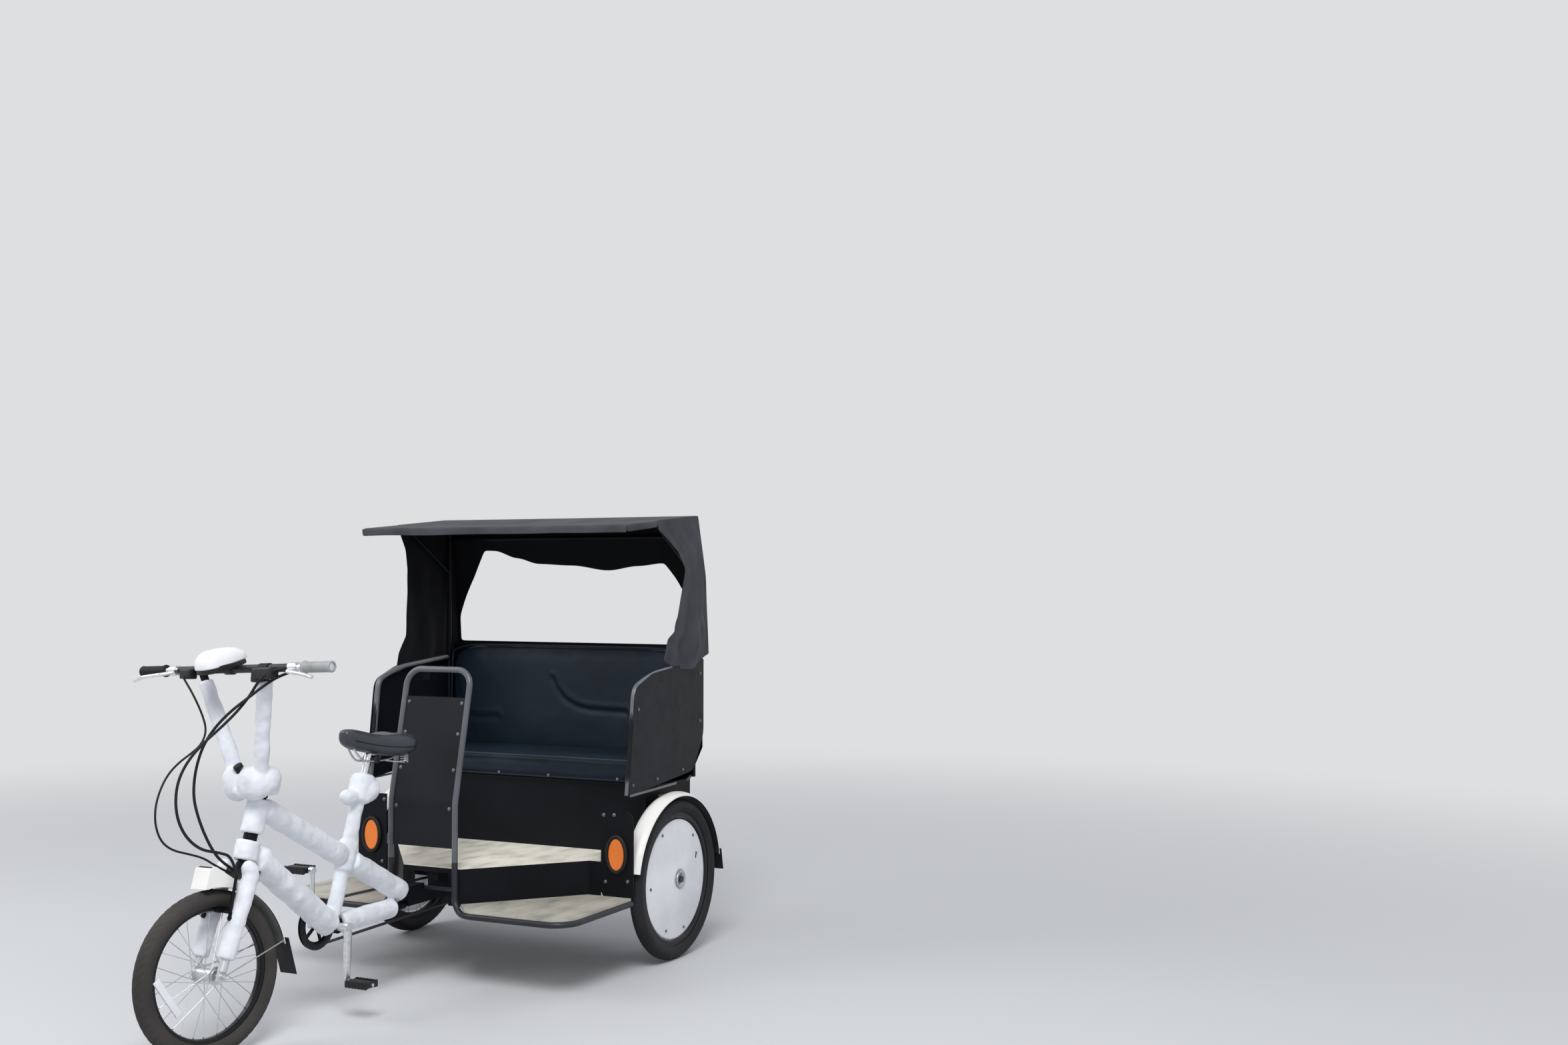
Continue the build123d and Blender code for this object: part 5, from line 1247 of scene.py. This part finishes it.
def make_wheel_trim():
    """Dished covers set inside the rims, with a grey hub ring, screws and an air slot."""
    cover_radius = 0.224
    # Profiles as the distance out from the wheel's middle and the radius
    dish = [
        (0.0296, 0.034), (0.0282, 0.048), (0.0092, cover_radius), (0.0088, 0.2275), (0.0072, 0.229),
        (0.0056, 0.228), (0.0072, cover_radius), (0.0262, 0.048), (0.0276, 0.034),
    ]
    ring = [
        (0, 0.015), (0, 0.033), (0.003, 0.0345), (0.006, 0.0325), (0.007, 0.025), (0.003, 0.0235),
        (0.003, 0.015),
    ]

    def rise(radius):
        return 0.0092 + 0.019 * (cover_radius - radius) / 0.176

    for side, name in side_names:
        out, body, hub = x_axis * side, f"rear_{name}_wheel", wheel_places[side]
        form = revolved(hub, hub + out, dish, 120)
        cover = new_piece(name + "_cover", form, white_shell, body, fixed=True)
        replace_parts(cover, f"rear_{name}_disc")
        start = hub + out * 0.029
        new_piece(name + "_hub_ring", revolved(start, start + out, ring, 48), steel, body)
        screws = ((-0.106, 0.18), (0.134, 0.15), (-0.079, -0.186), (0.06, -0.196), (-0.196, -0.01))
        places = [hub + Vector((side * rise(math.hypot(y, z)), y, z)) for y, z in screws]
        bolt_heads(name + "_cover_screws", places, out, 0.0042, body)
        axes = (x_axis, Vector((0, 0.94, -0.34)), Vector((0, 0.34, 0.94)))
        slot = block(hub + Vector((side * rise(0.166), 0.151, 0.07)), (0.002, 0.009, 0.026), 0.0008, axes)
        new_piece(name + "_air_slot", slot, soft_rubber, body)


make_arm_cover()
make_chain_guard()
make_pedals()
make_wheel_trim()


# ---------------------------------------------------------------- bolts, reflector frames and strips on the cab
def make_reflector_frames(count=72):
    # How far each ring of the frame lies outside the oval, and in front of the plate
    rings = ((0.0005, 0.0005), (0.0015, 0.0115), (0.006, 0.013), (0.013, 0.01), (0.016, 0.0005))
    for side, name in side_names:
        points = []
        for wide, tall in turns(count):
            for grow, depth in rings:
                x, z = side * 0.571 + wide * (0.0335 + grow), 0.447 + tall * (0.059 + grow)
                points.append((x, plate_face - depth, z))
        form = points, grid_faces(count, len(rings), True, True)
        new_piece(name + "_reflector_frame", form, soft_rubber, "frame", fixed=True)


def make_cab_bolts():
    holes = ((0.521, 0.343), (0.617, 0.35), (0.513, 0.59), (0.558, 0.592))
    places = [(side * x, plate_face - 0.0002, z) for side in (-1, 1) for x, z in holes]
    bolt_heads("plate_bolts", places, (0, -1, 0), 0.0048)
    places = []
    for z in (0.64, 0.777, 0.905, 1.015):
        lean = 0.1996 * max(0.0, z - 0.66)
        places += [(side * 0.119, rear_axle_y - 0.7572 + lean, z) for side in (-1, 1)]
    bolt_heads("partition_bolts", places, (0, -1, 0.05), 0.0048)
    places = [(x, seat_front - 0.0095, 0.697) for x in (-0.47, -0.101, 0.134, 0.45)]
    bolt_heads("seat_screws", places, (0, -1, 0), 0.004)
    holes = ((-0.3, 0.7), (-0.262, 0.98), (-0.12, 0.705), (0.08, 0.72), (0.22, 0.9), (0.222, 1.09))
    for side, name in side_names:
        places = [(side * 0.6162, rear_axle_y + y, z) for y, z in holes]
        bolt_heads(name + "_panel_bolts", places, (side, 0, 0), 0.0045)


def plate(name, node, outline, faces_at, upright):
    """A flat sheet with one outline, standing across the vehicle or lying level."""
    points = []
    for a, b in outline:
        points += [(a, depth, b) if upright else (a, b, depth) for depth in faces_at]
    count = len(outline)
    faces = [(2 * n, 2 * ((n + 1) % count), 2 * ((n + 1) % count) + 1, 2 * n + 1) for n in range(count)]
    faces += [tuple(range(0, 2 * count, 2)), tuple(range(2 * count - 1, 0, -2))]
    form = points, faces
    piece = new_piece(name, form, black_paint, "frame", smooth=False, fixed=True)
    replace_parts(piece, node)


def make_back_panel():
    """Rear panel and seat deck, their outer lower corners cut to the side panels' slant."""
    half, slant_half, low, top = panel_half, 0.56, 0.68, 1.19
    outline = [(-half, 0.792), (-half, top), (half, top), (half, 0.792), (slant_half, low), (-slant_half, low)]
    plate("rear_panel", "back_panel", outline, (rear_axle_y + 0.246, panel_rear), True)
    front, corner, end = rear_axle_y - 0.112, rear_axle_y + 0.12, panel_rear
    outline = [(-half, front), (half, front), (half, corner), (slant_half, end)]
    outline += [(-slant_half, end), (-half, corner)]
    plate("deck_board", "seat_deck", outline, (0.668, low), False)


def make_side_trim():
    """Grey tube over each panel's edge tube, and the pale edge strip along its foot."""
    path = (
        (-0.319, 0.664), (-0.3, 0.8), (-0.28, 0.985), (-0.272, 1.055), (-0.225, 1.076), (-0.145, 1.099),
        (-0.1, 1.107), (0.0, 1.1155), (0.09, 1.1235), (0.178, 1.1315),
    )
    run = Vector((0, 0.35, 0.01)).normalized()
    axes = (x_axis, run, x_axis.cross(run))
    for side, name in side_names:
        points = [(side * 0.603, rear_axle_y + y, z) for y, z in path]
        tube(name + "_panel_rail", points, 0.0118, rail_paint, "frame", "black_paint")
        middle = Vector((side * 0.6175, rear_axle_y - 0.15, 0.6685))
        form = block(middle, (0.003, 0.35, 0.009), 0.001, axes)
        new_piece(name + "_foot_strip", form, rail_paint, "frame", smooth=False)


make_reflector_frames()
make_cab_bolts()
make_back_panel()
make_side_trim()


# ---------------------------------------------------------------- stage
def make_stage(half=40.0, fade_start=2.5, fade_end=9.0):
    """Pale ground that fades into the background away from the vehicle."""
    mesh = bpy.data.meshes.new("studio_floor")
    corners = [(-half, -half, 0), (half, -half, 0), (half, half, 0), (-half, half, 0)]
    mesh.from_pydata(corners, [], [(0, 1, 2, 3)])
    look = Look("studio_floor", (0.6, 0.61, 0.63), 0.9)
    reach = look.add("VectorMath", {0: look.place}, operation="LENGTH").outputs["Value"]
    inputs = {"Value": reach, "From Min": fade_start, "From Max": fade_end}
    fade = look.add("MapRange", inputs, interpolation_type="SMOOTHSTEP").outputs["Result"]
    share = look.math("MULTIPLY", fade, seen_by_eye(look.tree))
    shown = look.add("Emission", pale).outputs[0]
    mix = look.add("MixShader", {0: share, 1: look.shader.outputs[0], 2: shown})
    put(look.tree, look.tree.nodes["Material Output"].inputs["Surface"], mix.outputs[0])
    mesh.materials.append(look.made)
    add_object("studio_floor", mesh)


make_stage()
